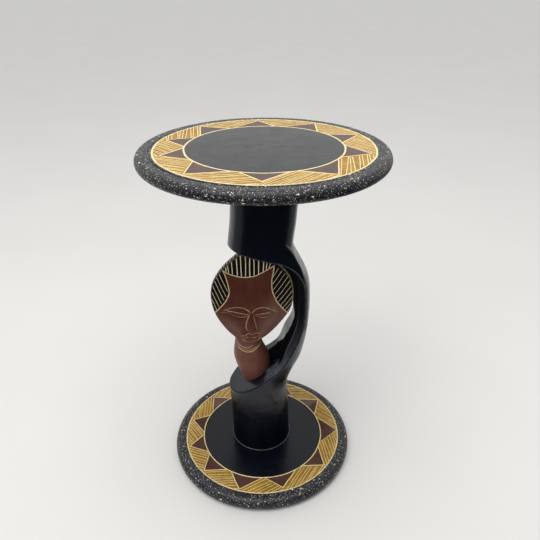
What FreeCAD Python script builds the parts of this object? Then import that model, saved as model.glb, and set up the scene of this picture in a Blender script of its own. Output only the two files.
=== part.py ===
import FreeCAD, Part
import math
import os

V = FreeCAD.Vector
os.makedirs("parts", exist_ok=True)

# Pedestal side table: two turned discs joined by one carved log that holds a carved head.
# Millimetres, +Z up, floor at z = 0. The stations below are measured from the centre of the
# base disc; everything is moved by -LEAN in x at the end, so that the origin lies on the
# floor under the centre of the top.

# ------------------------------------------------------------------ driving dimensions
LEAN = 6.7               # the top stands this far in +x of the base
HEIGHT = 520.0           # floor to the top's upper face
TOP_R = 165.0            # top disc radius
TOP_T = 17.0             # top disc thickness, half-round rim
BASE_R = 147.3           # base disc radius
BASE_T = 21.0            # base disc thickness, half-round rim
CY = 4.0                 # the log's axis stands this far behind the discs' centres
LOWER_R = 47.1           # lower drum radius
UPPER_R = 46.5           # upper drum radius
SCREW_R = 2.5            # wood screw shank
SCREW_L = 70.0           # wood screw length with its head
SCREW_HEAD_R = 4.8       # countersunk head
PLUG_R = 5.0             # filler plug over each top screw
PLUG_H = 4.0
TOP_SCREWS = [(-14.7, 0.0), (2.8, 8.3), (31.9, 2.8)]
BASE_SCREW_CIRCLE_R = 25.0
DOWEL_R = 6.0            # dowel between seat and neck
DOWEL_Z = (118.0, 178.0)
DOWEL_XY = (-10.0, 2.5)
HOLE_GAP = 0.1           # radial clearance round screws and dowel

# centre line of the two drums, (z, x)
LOWER_AXIS = [(21.0, -1.4), (48.0, -2.1), (71.0, -2.6), (93.0, -3.5), (117.0, -4.9), (150.0, -6.6), (215.0, -9.4)]
UPPER_AXIS = [(345.0, -3.6), (362.0, -1.6), (384.0, 1.1), (396.0, 2.4), (411.0, 4.3), (426.0, 5.6), (440.0, 6.5), (470.0, 8.3), (503.0, 10.0)]

# outside of the arm: (z, outermost x, rounding radius in front, squareness of the front, bulge of the square front, radius behind)
ARM = [
    (118, 33.0, 38, 0.00, 5.0, 38), (132, 38.9, 41, 0.00, 5.0, 41), (153, 46.2, 44, 0.00, 5.0, 44), (173, 54.1, 46, 0.00, 5.0, 46),
    (193, 63.0, 47, 0.00, 5.0, 47), (212, 67.5, 47, 0.02, 5.0, 47), (231, 70.9, 47, 0.08, 5.0, 47), (250, 72.8, 47, 0.25, 5.0, 47),
    (268, 73.8, 47, 0.37, 5.0, 47), (286, 74.0, 47, 0.46, 4.9, 47), (303, 73.7, 47, 0.57, 4.2, 47), (317, 72.9, 47, 0.65, 4.0, 47),
    (332, 69.6, 47, 0.75, 2.8, 46.5), (346, 63.8, 47, 0.85, 1.5, 45.5), (357, 58.3, 47, 0.96, 1.0, 44.5), (370, 51.6, 47, 1.00, 1.3, 42.5),
    (381, 46.8, 47, 1.00, 2.3, 40.0), (391, 40.7, 47, 1.00, 4.5, 37.0), (400, 34.5, 47, 1.00, 7.0, 34.0),
]
ARM_FRONT = 35.0         # half depth of the arm where its front is square
ARM_LEFT = -8.0          # inner limit of the arm's blank, cut away by the hollow

# front edge of the carved hollow, from the seat round the arm to the hood: (x, y, z)
EDGE = [
    (-120, -8, 124.8), (-60, -8, 126.5), (-51, -8, 128.3), (-46.8, -18.7, 130.4), (-40.8, -27.3, 133.6), (-34.2, -33.7, 137.7),
    (-26.1, -38.7, 142.8), (-18.2, -41.6, 148.1), (-10.3, -42.9, 153.8), (-2.5, -43, 159.6), (5.2, -43, 165.1),
    (12.9, -42.8, 170.5), (19.1, -42.3, 175.9), (25.2, -41.4, 181.9), (31.3, -40.4, 188.8), (35.8, -39.3, 195),
    (40.4, -37.9, 201.9), (44.9, -36.5, 209.3), (49.4, -34.4, 217.6), (53.9, -32.3, 227.2), (58.0, -30.4, 238.2),
    (61, -29.5, 249), (63.2, -29.2, 261), (64.9, -28.7, 276), (65.7, -28.3, 292), (65.6, -29.6, 307), (64.4, -31.4, 320),
    (62.0, -33, 331), (58.9, -33.5, 338.8), (55.4, -32.8, 344.9), (51.3, -32.3, 349.7), (47.0, -31.6, 353.3),
    (41.5, -31.3, 356.9), (34.5, -30.9, 360.4), (27.0, -32.3, 363.9), (13.6, -40.2, 370.2), (0, -42.4, 375.4),
    (-13.4, -40.2, 378.6), (-22.9, -36, 379.9), (-31.2, -29.7, 380.5), (-36.9, -23.5, 380.8), (-44.4, -6.7, 381.3),
    (-60, -6, 382.3), (-120, -6, 385.5),
]
EDGE_TURN = 24           # index where the hollow's edge turns from the seat's side to the hood's side

# head: rim outline seen from the front, (x, z), and depth sections (y, scale of the outline)
HEAD_RIM = [
    (-18.1, 227.8), (-10.6, 229.6), (-4.6, 232.6), (1.5, 236.9), (9.0, 243.0), (19.4, 254.3), (29.6, 267.6), (38.3, 280.8),
    (43.3, 290.2), (46.1, 301.5), (47.1, 313.5), (46.2, 328.3), (42.6, 341.8), (37.0, 352.6), (29.0, 362.5), (19.0, 371.5),
    (6.0, 380.0), (-10.0, 385.6), (-22.0, 383.6), (-31.5, 377.8), (-41.2, 369.3), (-48.4, 362.4), (-55.6, 354.2),
    (-61.4, 346.0), (-65.6, 338.2), (-68.6, 330.2), (-70.1, 322.4), (-70.7, 314.6), (-70.3, 306.4), (-69.2, 297.0),
    (-67.0, 287.2), (-64.2, 279.2), (-60.7, 271.5), (-56.4, 263.7), (-51.3, 255.7), (-45.3, 247.9), (-38.6, 240.8),
    (-32.1, 234.9), (-25.5, 230.4),
]
HEAD_CENTRE = (-11.6, 305.0)
HEAD_DEPTH = [(-38.0, 0.50), (-36.6, 0.70), (-34.6, 0.86), (-32.2, 0.96), (-29.5, 1.0), (-24.0, 1.0), (-17.0, 0.98), (-9.0, 0.94), (-1.0, 0.88), (7.0, 0.80), (14.0, 0.70), (20.0, 0.57), (25.0, 0.40)]
HEAD_TILT = 1.9          # degrees, chin forward
# neck: (z, x, y, radius)
NECK = [(122, -7.5, 3.0, 20.5), (150, -9.5, 2.5, 22.8), (163, -11.3, 2.2, 25.0), (175, -13.3, 2.0, 26.8), (186, -15.2, 1.5, 27.3),
        (200, -17.8, 0.5, 24.6), (214, -19.3, -1.0, 21.3), (230, -19.3, -2.0, 20.0), (262, -16.0, -3.0, 20.0)]


# ------------------------------------------------------------------ helpers
def spline(points, closed=False):
    c = Part.BSplineCurve()
    if closed:
        c.interpolate(Points=points, PeriodicFlag=True)
    else:
        c.interpolate(Points=points)
    return c.toShape()


def circle_wire(x, y, z, r):
    return Part.Wire([Part.makeCircle(r, V(x, y, z), V(0, 0, 1))])


def loft(wires, ruled=False):
    s = Part.makeLoft(wires, True, ruled)
    if s.Volume < 0:
        s.reverse()
    return s


def smooth(t):
    t = min(1.0, max(0.0, t))
    return t * t * (3 - 2 * t)


def one_solid(shape):
    solids = sorted(shape.Solids, key=lambda s: -s.Volume)
    return solids[0]


def disc(radius, thickness, z0, x0):
    """A turned disc with a half-round rim."""
    r = thickness / 2
    p = [V(0, 0, z0), V(radius - r, 0, z0), V(radius, 0, z0 + r), V(radius - r, 0, z0 + thickness), V(0, 0, z0 + thickness)]
    w = Part.Wire([Part.makeLine(p[0], p[1]), Part.Arc(p[1], p[2], p[3]).toShape(), Part.makeLine(p[3], p[4]), Part.makeLine(p[4], p[0])])
    s = Part.Face(w).revolve(V(0, 0, 0), V(0, 0, 1), 360)
    s.translate(V(x0, 0, 0))
    return s


def wood_screw(x, y, z_head, down=True):
    """Countersunk wood screw: head at z_head, point at the other end, cross recess in the head."""
    k = SCREW_HEAD_R - SCREW_R
    pts = [V(0, 0, 0), V(SCREW_HEAD_R, 0, 0), V(SCREW_HEAD_R, 0, 0.5), V(SCREW_R, 0, 0.5 + k), V(SCREW_R, 0, SCREW_L - 7), V(0, 0, SCREW_L), V(0, 0, 0)]
    s = Part.Face(Part.makePolygon(pts)).revolve(V(0, 0, 0), V(0, 0, 1), 360)
    a = Part.makeBox(5.0, 1.1, 2.2, V(-2.5, -0.55, 0))
    b = Part.makeBox(1.1, 5.0, 2.2, V(-0.55, -2.5, 0))
    s = s.cut(a.fuse(b))
    if down:
        s.rotate(V(0, 0, 0), V(1, 0, 0), 180)
    s.translate(V(x, y, z_head))
    return one_solid(s)


def screw_hole(x, y, z_head, down=True, mouth=0.0):
    """The space for a screw: countersink, shank hole to its point, and a straight mouth above the head."""
    g = HOLE_GAP
    k = SCREW_HEAD_R - SCREW_R
    r = SCREW_R + g
    pts = [V(0, 0, -mouth), V(SCREW_HEAD_R + g, 0, -mouth), V(SCREW_HEAD_R + g, 0, 0.5), V(r, 0, 0.5 + k), V(r, 0, SCREW_L - 6.8), V(0, 0, SCREW_L + 0.3), V(0, 0, -mouth)]
    s = Part.Face(Part.makePolygon(pts)).revolve(V(0, 0, 0), V(0, 0, 1), 360)
    if down:
        s.rotate(V(0, 0, 0), V(1, 0, 0), 180)
    s.translate(V(x, y, z_head))
    return s


# ------------------------------------------------------------------ the hollow carved out of the log
def hollow():
    n = len(EDGE)
    normals, inset, slant = [], [], []
    for i, (x, y, z) in enumerate(EDGE):
        a, b = EDGE[max(0, i - 1)], EDGE[min(n - 1, i + 1)]
        dx, dz = b[0] - a[0], b[2] - a[2]
        d = math.hypot(dx, dz)
        normals.append((dz / d, -dx / d))
        if i <= EDGE_TURN:                      # seat, then arm
            arm = smooth((z - 180.0) / 35.0)
            inset.append(8.0 * arm)
            slant.append(8.0 * smooth((z - 230.0) / 60.0) + 10.0 * smooth((z - 270.0) / 50.0))
        else:                                   # arm, then hood
            arm = smooth((x - 5.0) / 53.0)
            inset.append(8.0 * arm + 2.0 * (1 - arm))
            rise = 0.41 + 0.59 * smooth((z - 292.0) / 35.0)
            slant.append(8.0 * arm + 3.0 * (1 - arm) + 10.0 * rise * smooth((x - 22.0) / 30.0))
    wires = []
    for yk in (-95.0, -46.0, -39.0, -34.0, -29.0, -24.0, -18.0, 0.0, 22.0, 45.0, 95.0):
        pts = []
        for i, (x, y, z) in enumerate(EDGE):
            s = yk - y
            d = inset[i] * smooth(s / 9.0) + slant[i] * min(1.2, max(0.0, s / 75.0))
            pts.append(V(x - normals[i][0] * d, yk, z - normals[i][1] * d))
        wires.append(Part.Wire([spline(pts), Part.makeLine(pts[-1], pts[0])]))
    return loft(wires, ruled=True)


# ------------------------------------------------------------------ the log's outside
def arm_section(z, xo, r, sq, bulge, rb):
    front = r - (r - ARM_FRONT) * sq
    pts = []
    n = 12
    for i in range(n + 1):                      # front edge to the outermost point
        y = -front * math.sin(math.radians(90 - 90.0 * i / n))
        drop = (1 - sq) * (r - math.sqrt(max(0.0, r * r - y * y))) + sq * bulge * (y / 35.0) ** 2
        pts.append(V(xo - drop, CY + y, z))
    for i in range(1, n + 1):                   # outermost point to the back, always round
        y = rb * math.sin(math.radians(90.0 * i / n))
        pts.append(V(xo - (rb - math.sqrt(max(0.0, rb * rb - y * y))), CY + y, z))
    a, b = V(ARM_LEFT, CY - front, z), V(ARM_LEFT, CY + rb, z)
    return Part.Wire([Part.makeLine(a, pts[0]), spline(pts), Part.makeLine(pts[-1], b), Part.makeLine(b, a)])


space = hollow()
lower = loft([circle_wire(x, CY, z, LOWER_R) for z, x in LOWER_AXIS])
upper = loft([circle_wire(x, CY, z, UPPER_R) for z, x in UPPER_AXIS])
arm = loft([arm_section(*row) for row in ARM])
lower_cut = one_solid(lower.cut(space))
upper_cut = one_solid(upper.cut(space))
arm_cut = one_solid(arm.cut(space))
column = one_solid(lower_cut.fuse(arm_cut).fuse(upper_cut))

# ------------------------------------------------------------------ carved head and neck
def rim_wire(y, k):
    cx, cz = HEAD_CENTRE
    return Part.Wire([spline([V(cx + (x - cx) * k, y, cz + (z - cz) * k) for x, z in HEAD_RIM], closed=True)])


head = loft([rim_wire(y, k) for y, k in HEAD_DEPTH], ruled=True)
head.rotate(V(0, -29.5, HEAD_CENTRE[1]), V(1, 0, 0), HEAD_TILT)
neck = loft([circle_wire(x, y, z, r) for z, x, y, r in NECK])
head_and_neck = one_solid(one_solid(head.fuse(neck)).common(space))

# ------------------------------------------------------------------ discs and fixings
table_top = disc(TOP_R, TOP_T, HEIGHT - TOP_T, LEAN)
base_disc = disc(BASE_R, BASE_T, 0.0, 0.0)

z_head = HEIGHT - PLUG_H
top_screws, plugs = [], []
for x, y in TOP_SCREWS:
    hole = screw_hole(x, y, z_head)
    table_top = table_top.cut(hole).cut(Part.makeCylinder(PLUG_R, PLUG_H, V(x, y, z_head)))
    column = column.cut(hole)
    top_screws.append(wood_screw(x, y, z_head))
    plugs.append(Part.makeCylinder(PLUG_R, PLUG_H, V(x, y, z_head)))

base_screws = []
for k in range(3):
    a = math.radians(30 + 120 * k)
    x, y = LOWER_AXIS[0][1] + BASE_SCREW_CIRCLE_R * math.cos(a), CY + BASE_SCREW_CIRCLE_R * math.sin(a)
    hole = screw_hole(x, y, 1.0, down=False, mouth=2.0)
    base_disc = base_disc.cut(hole)
    column = column.cut(hole)
    base_screws.append(wood_screw(x, y, 1.0, down=False))

dowel = Part.makeCylinder(DOWEL_R, DOWEL_Z[1] - DOWEL_Z[0], V(DOWEL_XY[0], DOWEL_XY[1], DOWEL_Z[0]))
dowel = dowel.makeChamfer(0.8, [e for e in dowel.Edges if e.Curve.TypeId == "Part::GeomCircle"])
dowel_hole = Part.makeCylinder(DOWEL_R + HOLE_GAP, DOWEL_Z[1] - DOWEL_Z[0] + 2, V(DOWEL_XY[0], DOWEL_XY[1], DOWEL_Z[0] - 1))
column = one_solid(column.cut(dowel_hole))
head_and_neck = one_solid(head_and_neck.cut(dowel_hole))

nodes = {
    "table_top": one_solid(table_top),
    "base_disc": one_solid(base_disc),
    "column": column,
    "head_and_neck": head_and_neck,
    "neck_dowel": dowel,
    "top_screws": Part.makeCompound(top_screws),
    "top_screw_plugs": Part.makeCompound(plugs),
    "base_screws": Part.makeCompound(base_screws),
}
for name, shape in nodes.items():
    s = shape.copy()
    s.translate(V(-LEAN, 0, 0))
    s.exportStep(os.path.join("parts", name + ".step"))
    b = s.BoundBox
    print("%-18s valid %s solids %d volume %.1f cm3  x %.1f..%.1f y %.1f..%.1f z %.1f..%.1f" % (
        name, s.isValid(), len(s.Solids), s.Volume / 1000, b.XMin, b.XMax, b.YMin, b.YMax, b.ZMin, b.ZMax))
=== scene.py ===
import math
import bpy
import numpy as np
from mathutils import Matrix, Vector, geometry


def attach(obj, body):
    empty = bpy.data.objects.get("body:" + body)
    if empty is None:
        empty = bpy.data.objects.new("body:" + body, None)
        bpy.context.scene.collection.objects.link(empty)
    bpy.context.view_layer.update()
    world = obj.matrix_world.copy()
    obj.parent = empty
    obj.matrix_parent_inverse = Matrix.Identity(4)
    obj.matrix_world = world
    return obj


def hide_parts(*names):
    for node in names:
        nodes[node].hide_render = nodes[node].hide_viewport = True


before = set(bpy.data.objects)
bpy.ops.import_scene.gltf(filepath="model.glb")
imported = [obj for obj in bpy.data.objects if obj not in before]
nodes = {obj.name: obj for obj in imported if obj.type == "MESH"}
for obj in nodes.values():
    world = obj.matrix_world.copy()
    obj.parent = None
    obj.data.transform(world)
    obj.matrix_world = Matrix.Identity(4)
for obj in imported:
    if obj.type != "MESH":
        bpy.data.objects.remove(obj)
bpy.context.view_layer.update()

scene = bpy.context.scene

# Lengths below are millimetres, measured from the centre of the base disc on the floor, as in
# the part's source. LEAN moves them to the row frame, whose origin is under the top's centre.
LEAN = 6.7
HEIGHT, TOP_R, TOP_T = 520.0, 165.0, 17.0
BASE_R, BASE_T = 147.3, 21.0
CY = 4.0
LOWER_R, UPPER_R = 47.1, 46.5
SCREW_R, SCREW_L, SCREW_HEAD_R = 2.5, 70.0, 4.8
PLUG_R, PLUG_H = 5.0, 4.0
TOP_SCREWS = [(-14.7, 0.0), (2.8, 8.3), (31.9, 2.8)]
BASE_SCREWS = [(-1.4 + 25.0 * math.cos(math.radians(30 + 120 * k)), CY + 25.0 * math.sin(math.radians(30 + 120 * k))) for k in range(3)]
DOWEL_R, DOWEL_Z, DOWEL_XY = 6.0, (118.0, 178.0), (-10.0, 2.5)

LOWER_AXIS = [(21.0, -1.4), (48.0, -2.1), (71.0, -2.6), (93.0, -3.5), (117.0, -4.9), (150.0, -6.6), (215.0, -9.4)]
UPPER_AXIS = [(345.0, -3.6), (362.0, -1.6), (384.0, 1.1), (396.0, 2.4), (411.0, 4.3), (426.0, 5.6), (440.0, 6.5), (470.0, 8.3), (503.0, 10.0)]
ARM = [
    (118, 33.0, 38, 0.00, 5.0, 38), (132, 38.9, 41, 0.00, 5.0, 41), (153, 46.2, 44, 0.00, 5.0, 44), (173, 54.1, 46, 0.00, 5.0, 46),
    (193, 63.0, 47, 0.00, 5.0, 47), (212, 67.5, 47, 0.02, 5.0, 47), (231, 70.9, 47, 0.08, 5.0, 47), (250, 72.8, 47, 0.25, 5.0, 47),
    (268, 73.8, 47, 0.37, 5.0, 47), (286, 74.0, 47, 0.46, 4.9, 47), (303, 73.7, 47, 0.57, 4.2, 47), (317, 72.9, 47, 0.65, 4.0, 47),
    (332, 69.6, 47, 0.75, 2.8, 46.5), (346, 63.8, 47, 0.85, 1.5, 45.5), (357, 58.3, 47, 0.96, 1.0, 44.5), (370, 51.6, 47, 1.00, 1.3, 42.5),
    (381, 46.8, 47, 1.00, 2.3, 40.0), (391, 40.7, 47, 1.00, 4.5, 37.0), (400, 34.5, 47, 1.00, 7.0, 34.0),
]
ARM_FRONT, ARM_LEFT = 35.0, -8.0
EDGE = [
    (-120, -8, 124.8), (-60, -8, 126.5), (-51, -8, 128.3), (-46.8, -18.7, 130.4), (-40.8, -27.3, 133.6), (-34.2, -33.7, 137.7),
    (-26.1, -38.7, 142.8), (-18.2, -41.6, 148.1), (-10.3, -42.9, 153.8), (-2.5, -43, 159.6), (5.2, -43, 165.1),
    (12.9, -42.8, 170.5), (19.1, -42.3, 175.9), (25.2, -41.4, 181.9), (31.3, -40.4, 188.8), (35.8, -39.3, 195),
    (40.4, -37.9, 201.9), (44.9, -36.5, 209.3), (49.4, -34.4, 217.6), (53.9, -32.3, 227.2), (58.0, -30.4, 238.2),
    (61, -29.5, 249), (63.2, -29.2, 261), (64.9, -28.7, 276), (65.7, -28.3, 292), (65.6, -29.6, 307), (64.4, -31.4, 320),
    (62.0, -33, 331), (58.9, -33.5, 338.8), (55.4, -32.8, 344.9), (51.3, -32.3, 349.7), (47.0, -31.6, 353.3),
    (41.5, -31.3, 356.9), (34.5, -30.9, 360.4), (27.0, -32.3, 363.9), (13.6, -40.2, 370.2), (0, -42.4, 375.4),
    (-13.4, -40.2, 378.6), (-22.9, -36, 379.9), (-31.2, -29.7, 380.5), (-36.9, -23.5, 380.8), (-44.4, -6.7, 381.3),
    (-60, -6, 382.3), (-120, -6, 385.5),
]
EDGE_TURN = 24
HEAD_RIM = [
    (-18.1, 227.8), (-10.6, 229.6), (-4.6, 232.6), (1.5, 236.9), (9.0, 243.0), (19.4, 254.3), (29.6, 267.6), (38.3, 280.8),
    (43.3, 290.2), (46.1, 301.5), (47.1, 313.5), (46.2, 328.3), (42.6, 341.8), (37.0, 352.6), (29.0, 362.5), (19.0, 371.5),
    (6.0, 380.0), (-10.0, 385.6), (-22.0, 383.6), (-31.5, 377.8), (-41.2, 369.3), (-48.4, 362.4), (-55.6, 354.2),
    (-61.4, 346.0), (-65.6, 338.2), (-68.6, 330.2), (-70.1, 322.4), (-70.7, 314.6), (-70.3, 306.4), (-69.2, 297.0),
    (-67.0, 287.2), (-64.2, 279.2), (-60.7, 271.5), (-56.4, 263.7), (-51.3, 255.7), (-45.3, 247.9), (-38.6, 240.8),
    (-32.1, 234.9), (-25.5, 230.4),
]
HEAD_CENTRE = (-11.6, 305.0)
HEAD_DEPTH = [(-29.5, 1.0), (-24.0, 1.0), (-17.0, 0.98), (-9.0, 0.94), (-1.0, 0.88), (7.0, 0.80), (14.0, 0.70), (20.0, 0.57), (25.0, 0.40)]
HEAD_TILT = math.radians(1.9)
NECK = [(136, -8.4, 2.8, 21.5), (150, -9.5, 2.5, 22.8), (163, -11.3, 2.2, 25.0), (175, -13.3, 2.0, 26.8), (186, -15.2, 1.5, 27.3),
        (200, -17.8, 0.5, 24.6), (214, -19.3, -1.0, 21.3), (230, -19.3, -2.0, 20.0), (262, -16.0, -3.0, 20.0)]


# ---------------------------------------------------------------- numeric helpers
def smooth01(t):
    t = np.clip(t, 0.0, 1.0)
    return t * t * (3 - 2 * t)


def smin(a, b, k):
    h = np.clip(0.5 + 0.5 * (b - a) / k, 0, 1)
    return b + (a - b) * h - k * h * (1 - h)


def smax(a, b, k):
    return -smin(-a, -b, k)


def pchip(xk, yk):
    """Monotone cubic through the knots, held at the ends."""
    xk, yk = np.asarray(xk, float), np.asarray(yk, float)
    h = np.diff(xk)
    d = np.diff(yk) / h
    m = np.zeros_like(yk)
    w1, w2 = 2 * h[1:] + h[:-1], h[1:] + 2 * h[:-1]
    same = d[:-1] * d[1:] > 0
    with np.errstate(divide="ignore", invalid="ignore"):
        m[1:-1] = np.where(same, (w1 + w2) / (w1 / d[:-1] + w2 / d[1:]), 0)
    m[0], m[-1] = d[0], d[-1]

    def f(x):
        x = np.clip(x, xk[0], xk[-1])
        i = np.clip(np.searchsorted(xk, x, side="right") - 1, 0, len(xk) - 2)
        t = (x - xk[i]) / h[i]
        return ((1 + 2 * t) * (1 - t) ** 2 * yk[i] + t * (1 - t) ** 2 * h[i] * m[i]
                + t * t * (3 - 2 * t) * yk[i + 1] + t * t * (t - 1) * h[i] * m[i + 1])
    return f


def column_of(table, n):
    return [row[n] for row in table]


def lattice(ix, iy, iz, seed):
    h = (ix.astype(np.int64) * 374761393 + iy.astype(np.int64) * 668265263 + iz.astype(np.int64) * 1440662683 + seed * 1274126177) & 0xFFFFFFFF
    h = ((h ^ (h >> 13)) * 1274126177) & 0xFFFFFFFF
    h = h ^ (h >> 16)
    return h.astype(np.float64) / 4294967296.0 * 2 - 1


def noise(x, y, z, size, seed):
    """Smooth value noise in -1..1 with cells of the given size."""
    x, y, z = np.broadcast_arrays(np.asarray(x, float) / size, np.asarray(y, float) / size, np.asarray(z, float) / size)
    ix, iy, iz = np.floor(x), np.floor(y), np.floor(z)
    fx, fy, fz = x - ix, y - iy, z - iz
    fx, fy, fz = fx * fx * (3 - 2 * fx), fy * fy * (3 - 2 * fy), fz * fz * (3 - 2 * fz)
    out = 0
    for a in (0, 1):
        for b in (0, 1):
            for c in (0, 1):
                w = (fx if a else 1 - fx) * (fy if b else 1 - fy) * (fz if c else 1 - fz)
                out = out + w * lattice(ix + a, iy + b, iz + c, seed)
    return out


def catmull(points, step, closed=False):
    """Points along a smooth curve through the given ones, about step apart."""
    p = np.asarray(points, float)
    n = len(p)
    q = np.vstack([p[-1], p, p[0], p[1]]) if closed else np.vstack([2 * p[0] - p[1], p, 2 * p[-1] - p[-2]])
    fine = []
    for i in range(n if closed else n - 1):
        a, b, c, d = q[i], q[i + 1], q[i + 2], q[i + 3]
        t = np.linspace(0, 1, 24, endpoint=False)[:, None]
        fine.append(0.5 * (2 * b + (c - a) * t + (2 * a - 5 * b + 4 * c - d) * t * t + (3 * b - a - 3 * c + d) * t ** 3))
    fine = np.vstack(fine + [p[:1] if closed else p[-1:]])
    s = np.r_[0, np.cumsum(np.linalg.norm(np.diff(fine, axis=0), axis=1))]
    m = max(2, int(round(s[-1] / step)))
    t = np.linspace(0, s[-1], m + 1)
    out = np.stack([np.interp(t, s, fine[:, k]) for k in range(p.shape[1])], 1)
    return out[:-1] if closed else out


def along(p):
    return np.r_[0, np.cumsum(np.linalg.norm(np.diff(p, axis=0), axis=1))]


# ---------------------------------------------------------------- mesh helpers
def new_piece(name, verts, faces, smooth=True, sharp=None):
    """An object from millimetre vertices and faces (an array of quads or triangles, or a list of both)."""
    me = bpy.data.meshes.new(name)
    v = (np.asarray(verts, float) - np.array([LEAN, 0, 0])) * 0.001
    if isinstance(faces, np.ndarray):
        f = faces.astype(np.int32)
        k = f.shape[1]
        me.vertices.add(len(v))
        me.vertices.foreach_set("co", v.astype(np.float32).ravel())
        me.loops.add(f.size)
        me.loops.foreach_set("vertex_index", f.ravel())
        me.polygons.add(len(f))
        me.polygons.foreach_set("loop_start", np.arange(0, f.size, k, dtype=np.int32))
        me.update(calc_edges=True)
    else:
        me.from_pydata(v.tolist(), [], faces)
    me.validate()
    me.polygons.foreach_set("use_smooth", np.full(len(me.polygons), smooth))
    if sharp is not None:
        me.set_sharp_from_angle(angle=math.radians(sharp))
    me.update()
    ob = bpy.data.objects.new(name, me)
    scene.collection.objects.link(ob)
    return ob


def point_values(ob, name, values):
    a = ob.data.attributes.new(name, "FLOAT", "POINT")
    a.data.foreach_set("value", np.asarray(values, np.float32))


def hold(ob, node, material):
    ob.data.materials.clear()
    ob.data.materials.append(material)
    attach(ob, "root")
    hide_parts(node)


def revolve(profile, n, centre=(0.0, 0.0), start=0.0):
    """Closed body turned from an (r, z) outline whose first and last points may lie on the axis."""
    prof = np.asarray(profile, float)
    on_axis = prof[0, 0] < 1e-6
    a = start + np.arange(n) * 2 * math.pi / n
    ring = prof[1:-1] if on_axis else prof
    m = len(ring)
    v = np.stack([centre[0] + ring[:, None, 0] * np.cos(a), centre[1] + ring[:, None, 0] * np.sin(a), np.repeat(ring[:, None, 1], n, 1)], -1).reshape(-1, 3)
    i, j = np.meshgrid(np.arange(m - 1 if on_axis else m), np.arange(n), indexing="ij")
    i2, j2 = (i + 1) % m, (j + 1) % n
    quads = np.stack([i * n + j, i2 * n + j, i2 * n + j2, i * n + j2], -1).reshape(-1, 4)
    faces = quads.tolist()
    if on_axis:
        top, bottom = len(v), len(v) + 1
        v = np.vstack([v, [[centre[0], centre[1], prof[0, 1]], [centre[0], centre[1], prof[-1, 1]]]])
        faces += [[top, k, (k + 1) % n] for k in range(n)]
        faces += [[bottom, (m - 1) * n + (k + 1) % n, (m - 1) * n + k] for k in range(n)]
    return v, faces


def cut(ob, cutters):
    """Takes the cutters' closed bodies out of ob."""
    for c in cutters:
        mod = ob.modifiers.new("cut", "BOOLEAN")
        mod.operation, mod.object = "DIFFERENCE", c
        mod.solver = "MANIFOLD"
        with bpy.context.temp_override(object=ob, active_object=ob, selected_objects=[ob]):
            bpy.ops.object.modifier_apply(modifier=mod.name)
    for c in cutters:
        me = c.data
        bpy.data.objects.remove(c)
        bpy.data.meshes.remove(me)


def turned_cutter(name, profile, xy, n=28):
    v, f = revolve(profile, n, xy)
    return new_piece(name, v, f)


def screw_cutter(name, xy, z_head, down, mouth):
    g = 0.12
    k = SCREW_HEAD_R - SCREW_R
    pts = [(0, -mouth), (SCREW_HEAD_R + g, -mouth), (SCREW_HEAD_R + g, 0.5), (SCREW_R + g, 0.5 + k), (SCREW_R + g, SCREW_L - 6.8), (0, SCREW_L + 0.3)]
    s = -1 if down else 1
    prof = [(r, z_head + s * z) for r, z in pts]
    if not down:
        prof = prof[::-1]
    return turned_cutter(name, prof, xy)


# ---------------------------------------------------------------- materials
def material(name):
    m = bpy.data.materials.new(name)
    m.use_nodes = True
    nt = m.node_tree
    nt.nodes.clear()
    out = nt.nodes.new("ShaderNodeOutputMaterial")
    bsdf = nt.nodes.new("ShaderNodeBsdfPrincipled")
    nt.links.new(bsdf.outputs[0], out.inputs[0])
    return m, nt, bsdf


def node(nt, kind, inputs=None, **props):
    n = nt.nodes.new(kind)
    for k, v in props.items():
        setattr(n, k, v)
    for k, v in (inputs or {}).items():
        if isinstance(v, bpy.types.NodeSocket):
            nt.links.new(v, n.inputs[k])
        else:
            n.inputs[k].default_value = v
    return n


def coords(nt, scale=(1, 1, 1), turn=(0, 0, 0)):
    tc = node(nt, "ShaderNodeTexCoord")
    return node(nt, "ShaderNodeMapping", {"Vector": tc.outputs["Object"], "Scale": scale, "Rotation": turn}).outputs[0]


def noise_tex(nt, vec, scale, detail=3.0, rough=0.5, distortion=0.0):
    return node(nt, "ShaderNodeTexNoise", {"Vector": vec, "Scale": scale, "Detail": detail, "Roughness": rough, "Distortion": distortion})


def ramp(nt, fac, stops, interpolation="LINEAR"):
    r = node(nt, "ShaderNodeValToRGB", {"Fac": fac})
    r.color_ramp.interpolation = interpolation
    e = r.color_ramp.elements
    while len(e) > 1:
        e.remove(e[-1])
    for i, (p, c) in enumerate(stops):
        el = e[0] if i == 0 else e.new(p)
        el.position = p
        el.color = (c, c, c, 1) if isinstance(c, (int, float)) else (*c, 1)
    return r.outputs[0]


def mixrgb(nt, fac, a, b, mode="MIX"):
    n = node(nt, "ShaderNodeMix", data_type="RGBA", blend_type=mode)
    for key, v in (("Factor", fac), ("A", a), ("B", b)):
        sock = [s for s in n.inputs if s.name == key and (s.type == "RGBA" or (key == "Factor" and s.type == "VALUE"))][0]
        if isinstance(v, bpy.types.NodeSocket):
            nt.links.new(v, sock)
        else:
            sock.default_value = v if key == "Factor" else (*v, 1)
    return [s for s in n.outputs if s.type == "RGBA"][0]


def maths(nt, op, a, b=None, clamp=False):
    n = node(nt, "ShaderNodeMath", operation=op)
    n.use_clamp = clamp
    for i, v in enumerate((a, b)):
        if v is None:
            continue
        if isinstance(v, bpy.types.NodeSocket):
            nt.links.new(v, n.inputs[i])
        else:
            n.inputs[i].default_value = v
    return n.outputs[0]


def bump(nt, height, strength, distance, normal=None):
    d = {"Height": height, "Strength": strength, "Distance": distance}
    if normal is not None:
        d["Normal"] = normal
    return node(nt, "ShaderNodeBump", d).outputs[0]


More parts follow.
